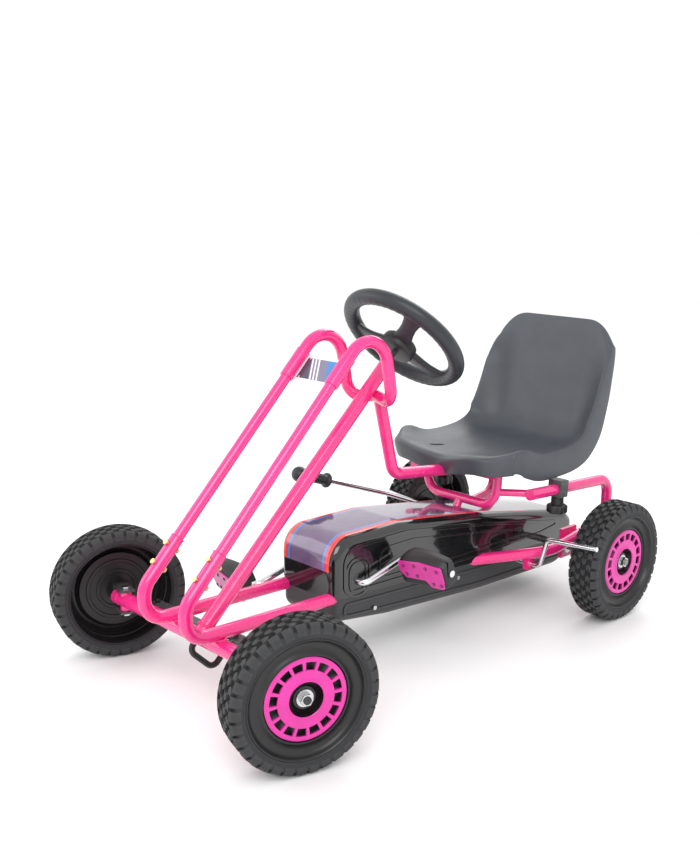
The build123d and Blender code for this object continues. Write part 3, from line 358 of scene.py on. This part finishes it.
def loftRings(bm, rings, capEnds=True):
    rows = [[bm.verts.new(point) for point in ring] for ring in rings]
    count = len(rows[0])
    for low, high in zip(rows, rows[1:]):
        for i in range(count):
            j = (i + 1) % count
            bm.faces.new((low[i], low[j], high[j], high[i]))
    if capEnds:
        bm.faces.new(rows[0])
        bm.faces.new(rows[-1])
    return rows


def loftAround(bm, rings):
    # joins each ring to the next and the last to the first
    rows = [[bm.verts.new(point) for point in ring] for ring in rings]
    count = len(rows[0])
    for i, low in enumerate(rows):
        high = rows[(i + 1) % len(rows)]
        for k in range(count):
            bm.faces.new((low[k], low[(k + 1) % count], high[(k + 1) % count], high[k]))


def axisMatrix(origin, along, lift=(0, 0, 1)):
    x = Vector(along).normalized()
    y = Vector(lift).cross(x).normalized()
    z = x.cross(y)
    return Matrix.Translation(origin) @ Matrix((x, y, z)).transposed().to_4x4()


def roundedLoop(corners, radii, steps):
    points = []
    count = len(corners)
    for i in range(count):
        here = Vector(corners[i])
        back = (Vector(corners[i - 1]) - here).normalized()
        ahead = (Vector(corners[(i + 1) % count]) - here).normalized()
        half = math.acos(max(-1, min(1, back.dot(ahead)))) / 2
        reach = radii[i] / math.tan(half)
        centre = here + (back + ahead).normalized() * (radii[i] / math.sin(half))
        start = here + back * reach - centre
        end = here + ahead * reach - centre
        turn = start.angle_signed(end)
        for k in range(steps + 1):
            points.append(centre + Matrix.Rotation(-turn * k / steps, 2) @ start)
    return points


tyreShape = {
    "pitches": 34,
    "groove": 108.6,
    "crown": 114.8,
    "taper": 0.6,
    "segments": 160,
    "shoulderSpan": (0.08, (0.08 + 0.82) / 2, 0.82),
    "rows": [[(-21.6, 0.20), (-16.5, 0.02), (-11.6, 0.20), (-11.6, 0.74), (-16.5, 0.56), (-21.6, 0.74)],
             [(-10.4, 0.02), (-5.6, 0.20), (-1.0, 0.02), (-1.0, 0.56), (-5.6, 0.74), (-10.4, 0.56)]],
    "shoulder": [(22.4, 114.2), (26.0, 112.4), (29.3, 109.4), (30.5, 104.0), (30.3, 99.0), (28.0, 99.0),
                 (22.4, 107.5)],
    "carcass": [(-26.8, 91), (-28.6, 92), (-29.6, 94.5), (-29.2, 95.3), (-29.9, 96.2), (-30.0, 101), (-29.0, 106.2),
                (-23, 108.4), (-12, 108.7), (0, 108.8), (12, 108.7), (23, 108.4), (29.0, 106.2), (30.0, 101),
                (29.9, 96.2), (29.2, 95.3), (29.6, 94.5), (28.6, 92), (26.8, 91)],
}
rimShape = {
    "profile": [(-26.8, 91), (26.8, 91), (27.9, 91.6), (28.7, 90.9), (28.7, 89.4), (27.6, 88.2), (24.6, 87.0),
                (21.0, 85.2), (18.6, 82.4), (17.9, 79), (18.1, 75.6), (19.0, 72.4), (20.6, 69.6), (22.2, 67.6),
                (23.0, 66.0), (22.9, 64.8), (21.6, 64.1), (12.4, 63.6), (11.8, 61.5), (11.8, 22),
                (13.8, 18), (15.8, 17), (15.8, 8), ("hub", 8), ("hub", 17), (7.8, 19), (7.8, 30), (6.2, 31),
                (6.2, 36), (7.8, 37), (7.8, 48), (6.2, 49), (6.2, 54), (7.8, 55), (7.8, 66), (17.8, 67),
                (15.8, 72), (14.4, 73), (14.4, 77), (15.4, 79), (16.6, 86.6), (4, 86.9), (2.5, 85.4), (0, 85.4),
                (-1.5, 86.9), (-24.5, 87), (-27.6, 88.2), (-28.6, 89.4), (-28.6, 90.6), (-27.8, 91.4)],
    "segments": 128,
}
capShape = {
    "slots": 16,
    "perSlot": 8,
    "share": 0.74,
    "slot": (43.5, 55.5),
    "radii": [26, 27, 28.6, 31, 36, 43.5, 55.5, 58, 61, 62.9],
    "rise": [0.6, 1.8, 1.9, 0.6, 0.4, 0.2, 0.2, 0.4, 0.3, -0.8],
    "face": 22.2,
    "thickness": 0.0034,
    "edge": 0.0004,
}


def addTreadBlock(bm, outline, base, top, angle, pitch, shift, flip, taper):
    rows = []
    middleX = sum(p[0] for p in outline) / len(outline)
    middleT = sum(p[1] for p in outline) / len(outline)
    for radius, shrink in ((base, 0.0), (top, taper)):
        ring = []
        for x, t in outline:
            sx = x - math.copysign(min(shrink, abs(x - middleX)), x - middleX)
            st = t - math.copysign(shrink / (top * pitch), t - middleT)
            a = angle + (st + shift) * pitch
            ring.append((flip * sx * mm, -math.sin(a) * radius * mm, math.cos(a) * radius * mm))
        rows.append(ring)
    bm.faces.new(loftRings(bm, rows, False)[1])


def buildTyre(name, body, matrix):
    bm = bmesh.new()
    addLathe(bm, tyreShape["carcass"], tyreShape["segments"])
    pitch = 2 * math.pi / tyreShape["pitches"]
    for k in range(tyreShape["pitches"]):
        angle = k * pitch
        for flip, shift in ((1, 0.0), (-1, 0.5)):
            for step, row in enumerate(tyreShape["rows"]):
                addTreadBlock(bm, row, tyreShape["groove"] - 1, tyreShape["crown"], angle, pitch,
                              shift + 0.5 * step, flip, tyreShape["taper"])
            rings = []
            for t in tyreShape["shoulderSpan"]:
                a = angle + (t + shift) * pitch
                rings.append([(flip * x * mm, -math.sin(a) * r * mm, math.cos(a) * r * mm)
                              for x, r in tyreShape["shoulder"]])
            loftRings(bm, rings)
    finishPiece(bm, f"{name}TreadedTyre", body, "tyreRubber", [f"{name}_tyre"], matrix)


def buildRim(name, body, matrix, hub):
    bm = bmesh.new()
    addLathe(bm, [(hub if x == "hub" else x, r) for x, r in rimShape["profile"]], rimShape["segments"])
    finishPiece(bm, f"{name}SteppedRim", body, "rimBlack", [f"{name}_rim"], matrix)


def buildCap(name, body, matrix):
    bm = bmesh.new()
    perSlot = capShape["perSlot"]
    count = capShape["slots"] * perSlot
    radii = capShape["radii"]
    rows = []
    for r, rise in zip(radii, capShape["rise"]):
        rows.append([bm.verts.new(((capShape["face"] + rise) * mm, math.sin(2 * math.pi * i / count) * r * mm,
                                   math.cos(2 * math.pi * i / count) * r * mm)) for i in range(count)])
    for inner, outer, low, high in zip(radii, radii[1:], rows, rows[1:]):
        for i in range(count):
            inSlot = (inner, outer) == capShape["slot"] and (i % perSlot) / perSlot < capShape["share"]
            if not inSlot:
                j = (i + 1) % count
                bm.faces.new((low[i], low[j], high[j], high[i]))
    finishPiece(bm, f"{name}SlottedCap", body, "capPink", [f"{name}_cap"], matrix,
                [("SOLIDIFY", {"thickness": capShape["thickness"], "offset": -1.0}),
                 ("BEVEL", {"width": capShape["edge"], "segments": renderLevels, "limit_method": "ANGLE",
                            "harden_normals": True})])


steerTurn = math.radians(-17)
wheels = {}
for side, word in ((1, "left"), (-1, "right")):
    outward = Vector((side * math.cos(steerTurn), side * math.sin(steerTurn), 0))
    frontCentre = Vector((side * 0.212, 0, 0.115)) + outward * 0.051
    rearCentre = Vector((side * 0.2447, 0.8025, 0.115))
    wheels[f"front_{word}"] = (frontCentre, outward, f"front_wheel_{word}", -13.6)
    wheels[f"rear_{word}"] = (rearCentre, Vector((side, 0, 0)), "rear_axle", -24.8)
for name, (centre, outward, body, hub) in wheels.items():
    matrix = axisMatrix(centre, outward)
    buildTyre(name, body, matrix)
    buildRim(name, body, matrix, hub)
    buildCap(name, body, matrix)
print("stage: wheels")

handShape = {
    "radius": 108.0,
    "grip": 14.3,
    "segments": 144,
    "sides": 24,
    "spokes": (25, 155, 270),
    "turn": math.asin(55 * math.sin(steerTurn) / 51),
    # reach, half width, half height, drop
    "spokeStations": [(20, 19, 7, -16), (34, 17, 6.5, -14), (50, 14.5, 6, -11.5), (68, 14, 5.5, -8.5),
                      (84, 16, 5.5, -5), (94, 21, 6, -2.5), (101, 27, 6, -1)],
    "hub": [(-30, 5.2), (-30, 27), (-28.5, 31), (-25, 32.8), (-12, 32.8), (-8, 31.6), (-5.6, 28.6), (-5, 25),
            (-5.6, 23.6), (-5, 22.4), (-4, 20), (-4, 13), (-5.2, 12), (-5.2, 5.2)],
}
columnAxis = Vector((0, math.cos(math.radians(43.6)), math.sin(math.radians(43.6))))
handCentre = Vector((0, 0, 0.114)) + columnAxis * 0.628
driverRight = Matrix.Rotation(handShape["turn"], 3, columnAxis) @ Vector((-1, 0, 0))
handUp = columnAxis.cross(driverRight)
handMatrix = Matrix.Translation(handCentre) @ Matrix((driverRight, handUp, columnAxis)).transposed().to_4x4()

bm = bmesh.new()
rings = []
for i in range(handShape["segments"]):
    a = 2 * math.pi * i / handShape["segments"]
    ring = []
    for k in range(handShape["sides"]):
        b = 2 * math.pi * k / handShape["sides"]
        under = max(0.0, -math.sin(b))
        grip = handShape["grip"] - 0.7 * under * (1 + math.cos(48 * a)) / 2
        r = handShape["radius"] + grip * math.cos(b)
        ring.append((r * math.cos(a) * mm, r * math.sin(a) * mm, grip * math.sin(b) * mm))
    rings.append(ring)
loftAround(bm, rings)
for angle in handShape["spokes"]:
    a = math.radians(angle)
    along = Vector((math.cos(a), math.sin(a), 0))
    across = Vector((-math.sin(a), math.cos(a), 0))
    rings = []
    for reach, half, height, drop in handShape["spokeStations"]:
        ring = []
        for k in range(20):
            b = 2 * math.pi * k / 20
            sx = math.copysign(abs(math.cos(b)) ** 0.55, math.cos(b)) * half
            sz = math.copysign(abs(math.sin(b)) ** 0.7, math.sin(b)) * height
            if sz > 0:
                sz -= 2.2 * max(0, 1 - abs(sx) / (half * 0.55))
            ring.append((along * reach + across * sx + Vector((0, 0, drop + sz))) * mm)
        rings.append(ring)
    loftRings(bm, rings)
finishPiece(bm, "dishedHandWheel", "steering", "gripPlastic", ["steering_wheel"], handMatrix)

bm = bmesh.new()
addLathe(bm, handShape["hub"], 72)
hubTurn = Matrix.Rotation(math.radians(-90), 4, "Y")
finishPiece(bm, "handWheelHub", "steering", "blackPlastic", (), handMatrix @ hubTurn)
print("stage: steering wheel")

# Stations from the front lip to the top of the back, measured from the rear axle in mm:
# y, z, half width, how far the sides rise, depth of the skirt
seatShape = {
    "stations": [(-258, 205, 143, 9, 34), (-246, 209, 145, 14, 40), (-225, 208, 146, 20, 47),
                 (-195, 202, 147, 25, 54), (-155, 198, 147, 22, 56), (-110, 197, 147, 14, 55),
                 (-60, 197, 147, 14, 55), (-15, 198, 147, 19, 58),
                 (20, 201, 147, 30, 62), (45, 211, 147, 42, 64), (63, 231, 147, 44, 62), (76, 262, 147, 40, 55),
                 (87, 303, 147, 33, 47), (97, 348, 146, 27, 38), (105, 390, 144, 21, 30), (111, 420, 141, 14, 22),
                 (115, 439, 137, 8, 16)],
    "across": 28,
    "slotRows": (9, 10, 11),
    "slotColumns": (7, 20),
}
seatOrigin = Vector((0, 0.8025, 0.115))


def smoothStations(rows, parts):
    out = []
    for i in range(len(rows) - 1):
        a, b, c, d = rows[max(i - 1, 0)], rows[i], rows[i + 1], rows[min(i + 2, len(rows) - 1)]
        for k in range(parts):
            t = k / parts
            out.append(tuple(0.5 * (2 * q + (r - p) * t + (2 * p - 5 * q + 4 * r - s) * t * t
                                    + (3 * q - p - 3 * r + s) * t ** 3) for p, q, r, s in zip(a, b, c, d)))
    out.append(rows[-1])
    return out


bm = bmesh.new()
seatRows = smoothStations(seatShape["stations"], 3)
grid = []
skirts = {}
for i, (y, z, half, rise, depth) in enumerate(seatRows):
    ahead = seatRows[min(i + 1, len(seatRows) - 1)]
    behind = seatRows[max(i - 1, 0)]
    tangent = Vector((0, ahead[0] - behind[0], ahead[1] - behind[1])).normalized()
    if y < -200:
        tangent = Vector((0, 1, 0))
    normal = Vector((1, 0, 0)).cross(tangent)
    nearFront = max(0.0, min(1.0, (-y - 135) / 120)) if z < 215 else 0.0
    nearTop = max(0.0, min(1.0, (z - 330) / 109))
    row = []
    for k in range(seatShape["across"] + 1):
        v = 2 * k / seatShape["across"] - 1
        side = abs(v)
        lift = rise * max(0.0, (side - 0.55) / 0.45) ** 2.0
        lobe = nearFront * (9 * math.exp(-((side - 0.62) / 0.24) ** 2) - 7 * math.exp(-(v / 0.2) ** 2))
        corner = max(0.0, (side - 0.55) / 0.45)
        back = nearFront * (14 * math.exp(-(v / 0.24) ** 2) + 52 * corner ** 2.4)
        low = nearTop * 44 * corner ** 2.4
        point = Vector((half * v, y + back, z - low)) + normal * (lift + lobe)
        vert = bm.verts.new(seatOrigin + point * mm)
        row.append(vert)
        ends = (i == 0, i == len(seatRows) - 1)
        if any(ends) or k in (0, seatShape["across"]):
            out = Vector((math.copysign(1, v) if side > 0.7 else 0, 0, 0)) * (side - 0.7) / 0.3
            if ends[0]:
                out = out + Vector((0, -1, 0))
                fall = Vector((0, 10, -depth))
            elif ends[1]:
                out = out + Vector((0, 0, 1))
                fall = Vector((0, 6, -3))
            else:
                fall = normal * -depth
            skirts[vert] = (out, fall, normal)
    grid.append(row)
holes = {(i, k) for i in seatShape["slotRows"] for k in seatShape["slotColumns"]}
for i in range(len(grid) - 1):
    for k in range(seatShape["across"]):
        if (i, k) not in holes:
            bm.faces.new((grid[i][k], grid[i][k + 1], grid[i + 1][k + 1], grid[i + 1][k]))
edge = [row[0] for row in grid] + grid[-1][1:] + [row[-1] for row in reversed(grid[:-1])] + grid[0][-2:0:-1]
previous = edge
for outShare, fallShare in ((1.6, 0.02), (3.0, 0.10), (3.3, 0.45), (1.5, 1.0)):
    ring = []
    for vert in edge:
        out, fall, normal = skirts[vert]
        ring.append(bm.verts.new(vert.co + (out * outShare + fall * fallShare) * mm))
    for j in range(len(edge)):
        n = (j + 1) % len(edge)
        bm.faces.new((previous[j], previous[n], ring[n], ring[j]))
    previous = ring
finishPiece(bm, "bucketSeat", "seat", "seatPlastic", ["seat_shell"], None,
            [("SOLIDIFY", {"thickness": 0.003, "offset": -1.0}),
             ("SUBSURF", {"levels": renderLevels, "render_levels": renderLevels})], 180)
print("stage: seat")

coverShape = {
    "corners": [(361, 68), (612.5, 49), (872.5, 42), (914.5, 69), (914.5, 137), (890.5, 157), (612.5, 208),
                (390, 237), (222, 237), (226, 87)],
    "bends": [300, 300, 60, 30, 22, 24, 300, 120, 46, 22],
    "half": 69.6,
    "round": 17.0,
    "wall": 2.4,
    "seam": (0.590, 0.114),
    "slope": -0.0462,
}


def coverSolid(shrink):
    bm = bmesh.new()
    outline = roundedLoop(coverShape["corners"], coverShape["bends"], 10)
    count = len(outline)
    normals = []
    for i in range(count):
        tangent = outline[(i + 1) % count] - outline[i - 1]
        normals.append(Vector((tangent.y, -tangent.x)).normalized())
    centre = sum(outline, Vector((0, 0))) / count
    if (outline[0] - centre).dot(normals[0]) < 0:
        normals = [-n for n in normals]
    rings = []
    stations = [(-1, k) for k in range(9)] + [(1, k) for k in reversed(range(9))]
    for side, k in stations:
        a = math.pi / 2 * (1 - k / 8)
        x = side * (coverShape["half"] - shrink - coverShape["round"] * (1 - math.sin(a)))
        inset = coverShape["round"] * (1 - math.cos(a)) + shrink
        rings.append([Vector((x, p.x - n.x * inset, p.y - n.y * inset)) * mm
                      for p, n in zip(outline, normals)])
    loftRings(bm, rings)
    return bm


def cutCover(bm, keepUpper):
    y, z = coverShape["seam"]
    normal = Vector((0, -coverShape["slope"], 1)).normalized()
    bmesh.ops.bisect_plane(bm, geom=bm.verts[:] + bm.edges[:] + bm.faces[:], plane_co=(0, y, z), plane_no=normal,
                           clear_inner=keepUpper, clear_outer=not keepUpper)
    bm.normal_update()
    bmesh.ops.solidify(bm, geom=bm.faces[:], thickness=coverShape["wall"] * mm)
    bmesh.ops.recalc_face_normals(bm, faces=bm.faces[:])
    return bm


def addRib(bm, corners, radii, x, width, height):
    line = roundedLoop(corners, radii, 8)
    count = len(line)
    rings = []
    for i in range(count):
        tangent = (line[(i + 1) % count] - line[i - 1]).normalized()
        out = Vector((tangent.y, -tangent.x))
        ring = []
        for off, rise in ((-0.5, -1.2), (-0.32, 0.75), (0, 1.0), (0.32, 0.75), (0.5, -1.2)):
            p = line[i] + out * off * width
            ring.append(Vector((x + math.copysign(rise * height, x), p.x, p.y)) * mm)
        rings.append(ring)
    loftAround(bm, rings)


bm = cutCover(coverSolid(0.0), True)
for side in (1, -1):
    x = side * coverShape["half"]
    addRib(bm, [(250, 138), (560, 128), (800, 128), (850, 134), (850, 142), (612, 186), (400, 217), (250, 217)],
           [14, 200, 120, 3.5, 3.5, 150, 90, 30], x, 6.0, 1.3)
    addRib(bm, [(333, 146), (560, 139), (740, 139), (740, 148), (606, 172), (420, 199), (333, 199)],
           [18, 200, 4, 4, 150, 80, 18], x, 4.0, 1.2)
    for reach in (27, 19):
        addRib(bm, [(281 - reach, 153 - reach + 2), (281 + reach, 153 - reach + 2), (281 + reach, 153 + reach + 16),
                    (281 - reach, 153 + reach + 16)], [reach - 3] * 4, x, 4.0, 1.2)
finishPiece(bm, "coverTopShell", "frame", "coverGloss", ["chain_cover_upper"])

bm = cutCover(coverSolid(1.2), False)
for side in (1, -1):
    x = side * (coverShape["half"] - 1.2)
    addRib(bm, [(250, 97), (600, 68), (880, 62), (890, 88), (600, 98), (250, 118)],
           [9, 200, 10, 10, 200, 9], x, 4.0, 1.4)
finishPiece(bm, "coverBelly", "frame", "coverSatin", ["chain_cover_lower"])
print("stage: chain cover")

pedalShape = {"half": 45.6, "depth": 31.0, "height": 54.0, "tilt": math.radians(22), "turn": math.radians(14),
              "flare": 15.0}
pedalBack = Vector((0, math.cos(pedalShape["tilt"]), math.sin(pedalShape["tilt"])))


def pedalLean(inward):
    # how far the face stands forward, most at the end nearest the crank
    return pedalShape["flare"] * (pedalShape["half"] - inward) / (2 * pedalShape["half"])


for side, word in ((1, "left"), (-1, "right")):
    turn = pedalShape["turn"]
    centre = Vector((side * 0.148, 0.281 + side * 0.1 * math.cos(turn), 0.153 + side * 0.1 * math.sin(turn)))
    bm = bmesh.new()
    rings = []
    half, deep, tall = pedalShape["half"], pedalShape["depth"] / 2, pedalShape["height"] / 2
    section = roundedLoop([(-deep, -tall), (deep, -tall + 3), (deep - 1, tall - 4), (-2, tall), (-deep, tall - 5)],
                          [4, 5, 6, 12, 4], 5)
    for k in range(21):
        x = -half + 2 * half * k / 20
        inset = {0: 2.4, 1: 0.7, 19: 0.7, 20: 2.4}.get(k, 0)
        arch = 4.5 * (1 - (x / half) ** 2) - 2
        flare = pedalLean(side * x)
        rings.append([Vector((x, p.x - math.copysign(inset, p.x) - (flare if p.x < 0 else 0),
                              p.y - math.copysign(inset, p.y) + (arch if p.y > 0 else 0))) * mm for p in section])
    loftRings(bm, rings)
    up = Vector((1, 0, 0)).cross(pedalBack)
    matrix = Matrix.Translation(centre) @ Matrix((Vector((1, 0, 0)), pedalBack, up)).transposed().to_4x4()
    finishPiece(bm, f"{word}ArchedPedal", f"pedal_{word}", "blackPlastic", [f"pedal_{word}"], matrix)

    bm = bmesh.new()
    corners = [(-43, 22), (-42, 0), (-33, -11), (6, -11), (16, -24), (40, -25), (43, -10), (43, 20), (0, 25)]
    outline = roundedLoop([(side * x, z) for x, z in corners], [2, 3, 4, 3, 3, 3, 3, 3, 20], 4)
    loftRings(bm, [[Vector((p.x, -deep + lift - pedalLean(side * p.x), p.y)) * mm for p in outline]
                   for lift in (0.5, -2.0)])
    finishPiece(bm, f"{word}PedalFace", f"pedal_{word}", "capPink", [f"pedal_plate_{word}"], matrix)
    bm = bmesh.new()
    for x, z in ((-33, 14), (-11, 16), (12, 15), (33, 12), (-30, -3), (-9, -4), (21, -16), (36, -17)):
        ahead = -deep - pedalLean(x)
        rings = []
        for r, y in ((3.2, ahead + 0.5), (3.2, ahead - 2.6), (2.4, ahead - 2.8), (1.8, ahead - 1.6)):
            rings.append([Vector((side * x + r * math.cos(a), y, z + r * math.sin(a))) * mm
                          for a in [2 * math.pi * k / 20 for k in range(20)]])
        loftRings(bm, rings)
    finishPiece(bm, f"{word}PedalStuds", f"pedal_{word}", "blackPlastic", (), matrix)

gripShape = {"profile": [(0, 4.6), (0, 11.5), (1.5, 14), (4, 14.4), (6, 13.2), (8, 10.4), (12, 9.4)], "rings": 9}
leverEnd = Vector((-0.140, 0.331, 0.293))
gripDir = Vector((0, -0.943359, 0.331774))
profile = list(gripShape["profile"])
for k in range(gripShape["rings"]):
    at = 15 + k * 4.8
    profile += [(at, 9.9), (at + 1.0, 8.9), (at + 2.4, 8.9), (at + 3.4, 9.9)]
for k in range(13):
    a = math.radians(222 - k * 222 / 12)
    profile.append((74 + 14.8 * math.cos(a), max(0.02, abs(14.8 * math.sin(a)) if k else 9.9)))
bm = bmesh.new()
addLathe(bm, profile + [(74, 0.02), (30, 4.6)], 48)
finishPiece(bm, "leverGrip", "brake", "gripPlastic", ["brake_grip"],
            axisMatrix(leverEnd - gripDir * 0.074, gripDir))

knobShape = {
    "lobes": 6,
    "bite": 2.6,
    "steps": 96,
    # height, radius, share of the lobes
    "profile": [(232.9, 12.0, 0), (219, 12.4, 0), (218, 16, 0.4), (216.6, 19.2, 1), (214.5, 20.3, 1),
                (204, 20.3, 1), (201.6, 19.0, 1), (200.9, 16.0, 0.6)],
}
for side, word in ((1, "left"), (-1, "right")):
    rings = []
    for z, r, lobe in knobShape["profile"]:
        ring = []
        for a in [2 * math.pi * k / knobShape["steps"] for k in range(knobShape["steps"])]:
            reach = r - lobe * knobShape["bite"] * (1 + math.cos(knobShape["lobes"] * a)) / 2
            ring.append(Vector((side * 148 + reach * math.cos(a), 740.5 + reach * math.sin(a), z)) * mm)
        rings.append(ring)
    bm = bmesh.new()
    loftRings(bm, rings)
    finishPiece(bm, f"{word}LobedKnob", f"knob_{word}", "blackPlastic", [f"seat_knob_{word}"])
print("stage: pedals, grip and knobs")

weldShape = {"ripple": 0.35, "steps": 90, "sides": 8}


def addBead(bm, centre, axis, radius, thick, squeeze=1.0):
    matrix = axisMatrix(Vector(centre) * mm, axis, (0, 1, 0.01))
    rings = []
    for i in range(weldShape["steps"]):
        a = 2 * math.pi * i / weldShape["steps"]
        size = thick * (1 + weldShape["ripple"] * 0.5 * math.cos(30 * a))
        ring = []
        for k in range(weldShape["sides"]):
            b = 2 * math.pi * k / weldShape["sides"]
            r = radius + size * math.cos(b)
            spot = Vector((size * math.sin(b), r * math.cos(a) * squeeze, r * math.sin(a)))
            ring.append(matrix @ (spot * mm))
        rings.append(ring)
    loftAround(bm, rings)


tubeSlope = math.radians(45.8)
frontDir = Vector((0, math.cos(tubeSlope), math.sin(tubeSlope)))
bm = bmesh.new()
for side in (1, -1):
    addBead(bm, (side * 55.5, 0, 127.2), (0, 0, 1), 8.2, 2.4, 1.15)
    addBead(bm, (side * 55.5, 3.4, 263.3), frontDir, 10.2, 1.3)
    addBead(bm, (side * 137.2, 802.5, 137), (1, 0, 0), 8, 1.6)
    addBead(bm, (side * 224.5, 0, 114), (1, 0, 0), 12.4, 1.2)
addBead(bm, tuple(Vector((0, 0, 114)) + columnAxis * 17.5), columnAxis, 12.4, 2.2)
finishPiece(bm, "weldBeads", "frame", "weldPaint")

plateNormal = Vector((0, -math.sin(tubeSlope), math.cos(tubeSlope)))
plateMiddle = Vector((0, 250, 259.8 + 250 * math.tan(tubeSlope))) - plateNormal * 7
bm = bmesh.new()
for x in (-36, 36):
    for s in (-19, 19):
        spot = plateMiddle + Vector((x, 0, 0)) + frontDir * s + plateNormal * 0.7
        part = bmesh.ops.create_uvsphere(bm, u_segments=20, v_segments=10, radius=2.0 * mm)
        flattened = axisMatrix(spot * mm, plateNormal, (1, 0, 0)) @ Matrix.Diagonal((0.5, 1, 1, 1))
        bmesh.ops.transform(bm, matrix=flattened, verts=part["verts"])
finishPiece(bm, "plateRivets", "frame", "zinc")
print("stage: welds and rivets")

bm = bmesh.new()
bmesh.ops.create_grid(bm, x_segments=1, y_segments=1, size=60)
mesh = bpy.data.meshes.new("studioFloor")
bm.to_mesh(mesh)
bm.free()
floor = bpy.data.objects.new("studioFloor", mesh)
bpy.context.scene.collection.objects.link(floor)
paper = bpy.data.materials.new("palePaper")
paper.use_nodes = True
paper.node_tree.nodes["Principled BSDF"].inputs["Base Color"].default_value = (0.98, 0.98, 0.98, 1)
paper.node_tree.nodes["Principled BSDF"].inputs["Roughness"].default_value = 0.6
mesh.materials.append(paper)

world = bpy.data.worlds.new("studio")
bpy.context.scene.world = world
world.use_nodes = True
world.node_tree.nodes["Background"].inputs["Color"].default_value = (1.0, 1.0, 1.0, 1)
world.node_tree.nodes["Background"].inputs["Strength"].default_value = 1.03

bpy.context.scene.view_settings.view_transform = "Standard"
lights = {
    "keySoftbox": {"spot": (1.6, -1.3, 2.2), "size": 1.6, "power": 34},
    "fillSoftbox": {"spot": (-2.0, -1.6, 1.5), "size": 1.8, "power": 16},
    "backSoftbox": {"spot": (-0.8, 2.4, 2.0), "size": 1.6, "power": 20},
}
for name, settings in lights.items():
    lamp = bpy.data.lights.new(name, "AREA")
    lamp.size = settings["size"]
    lamp.energy = settings["power"]
    holder = bpy.data.objects.new(name, lamp)
    holder.location = settings["spot"]
    aim = Vector((0, 0.35, 0.25)) - Vector(settings["spot"])
    holder.rotation_euler = aim.to_track_quat("-Z", "Y").to_euler()
    bpy.context.scene.collection.objects.link(holder)

cameraView = {"spot": (1.3031, -0.9099, 0.7953), "forward": (-0.6841, 0.6868, -0.2455), "roll": 0.014, "lens": 44.83,
              "shift": (-0.0341, 0.0426)}
forward = Vector(cameraView["forward"]).normalized()
right = forward.cross(Vector((0, 0, 1))).normalized()
above = right.cross(forward)
rollCos, rollSin = math.cos(cameraView["roll"]), math.sin(cameraView["roll"])
cameraX = right * rollCos + above * rollSin
cameraY = above * rollCos - right * rollSin
lens = bpy.data.cameras.new("viewCamera")
lens.lens = cameraView["lens"]
lens.sensor_width = 36
lens.shift_x, lens.shift_y = cameraView["shift"]
viewer = bpy.data.objects.new("viewCamera", lens)
cameraTurn = Matrix((cameraX, cameraY, -forward)).transposed().to_4x4()
viewer.matrix_world = Matrix.Translation(cameraView["spot"]) @ cameraTurn
bpy.context.scene.collection.objects.link(viewer)
bpy.context.scene.camera = viewer

bpy.context.view_layer.update()
print("stage: done")
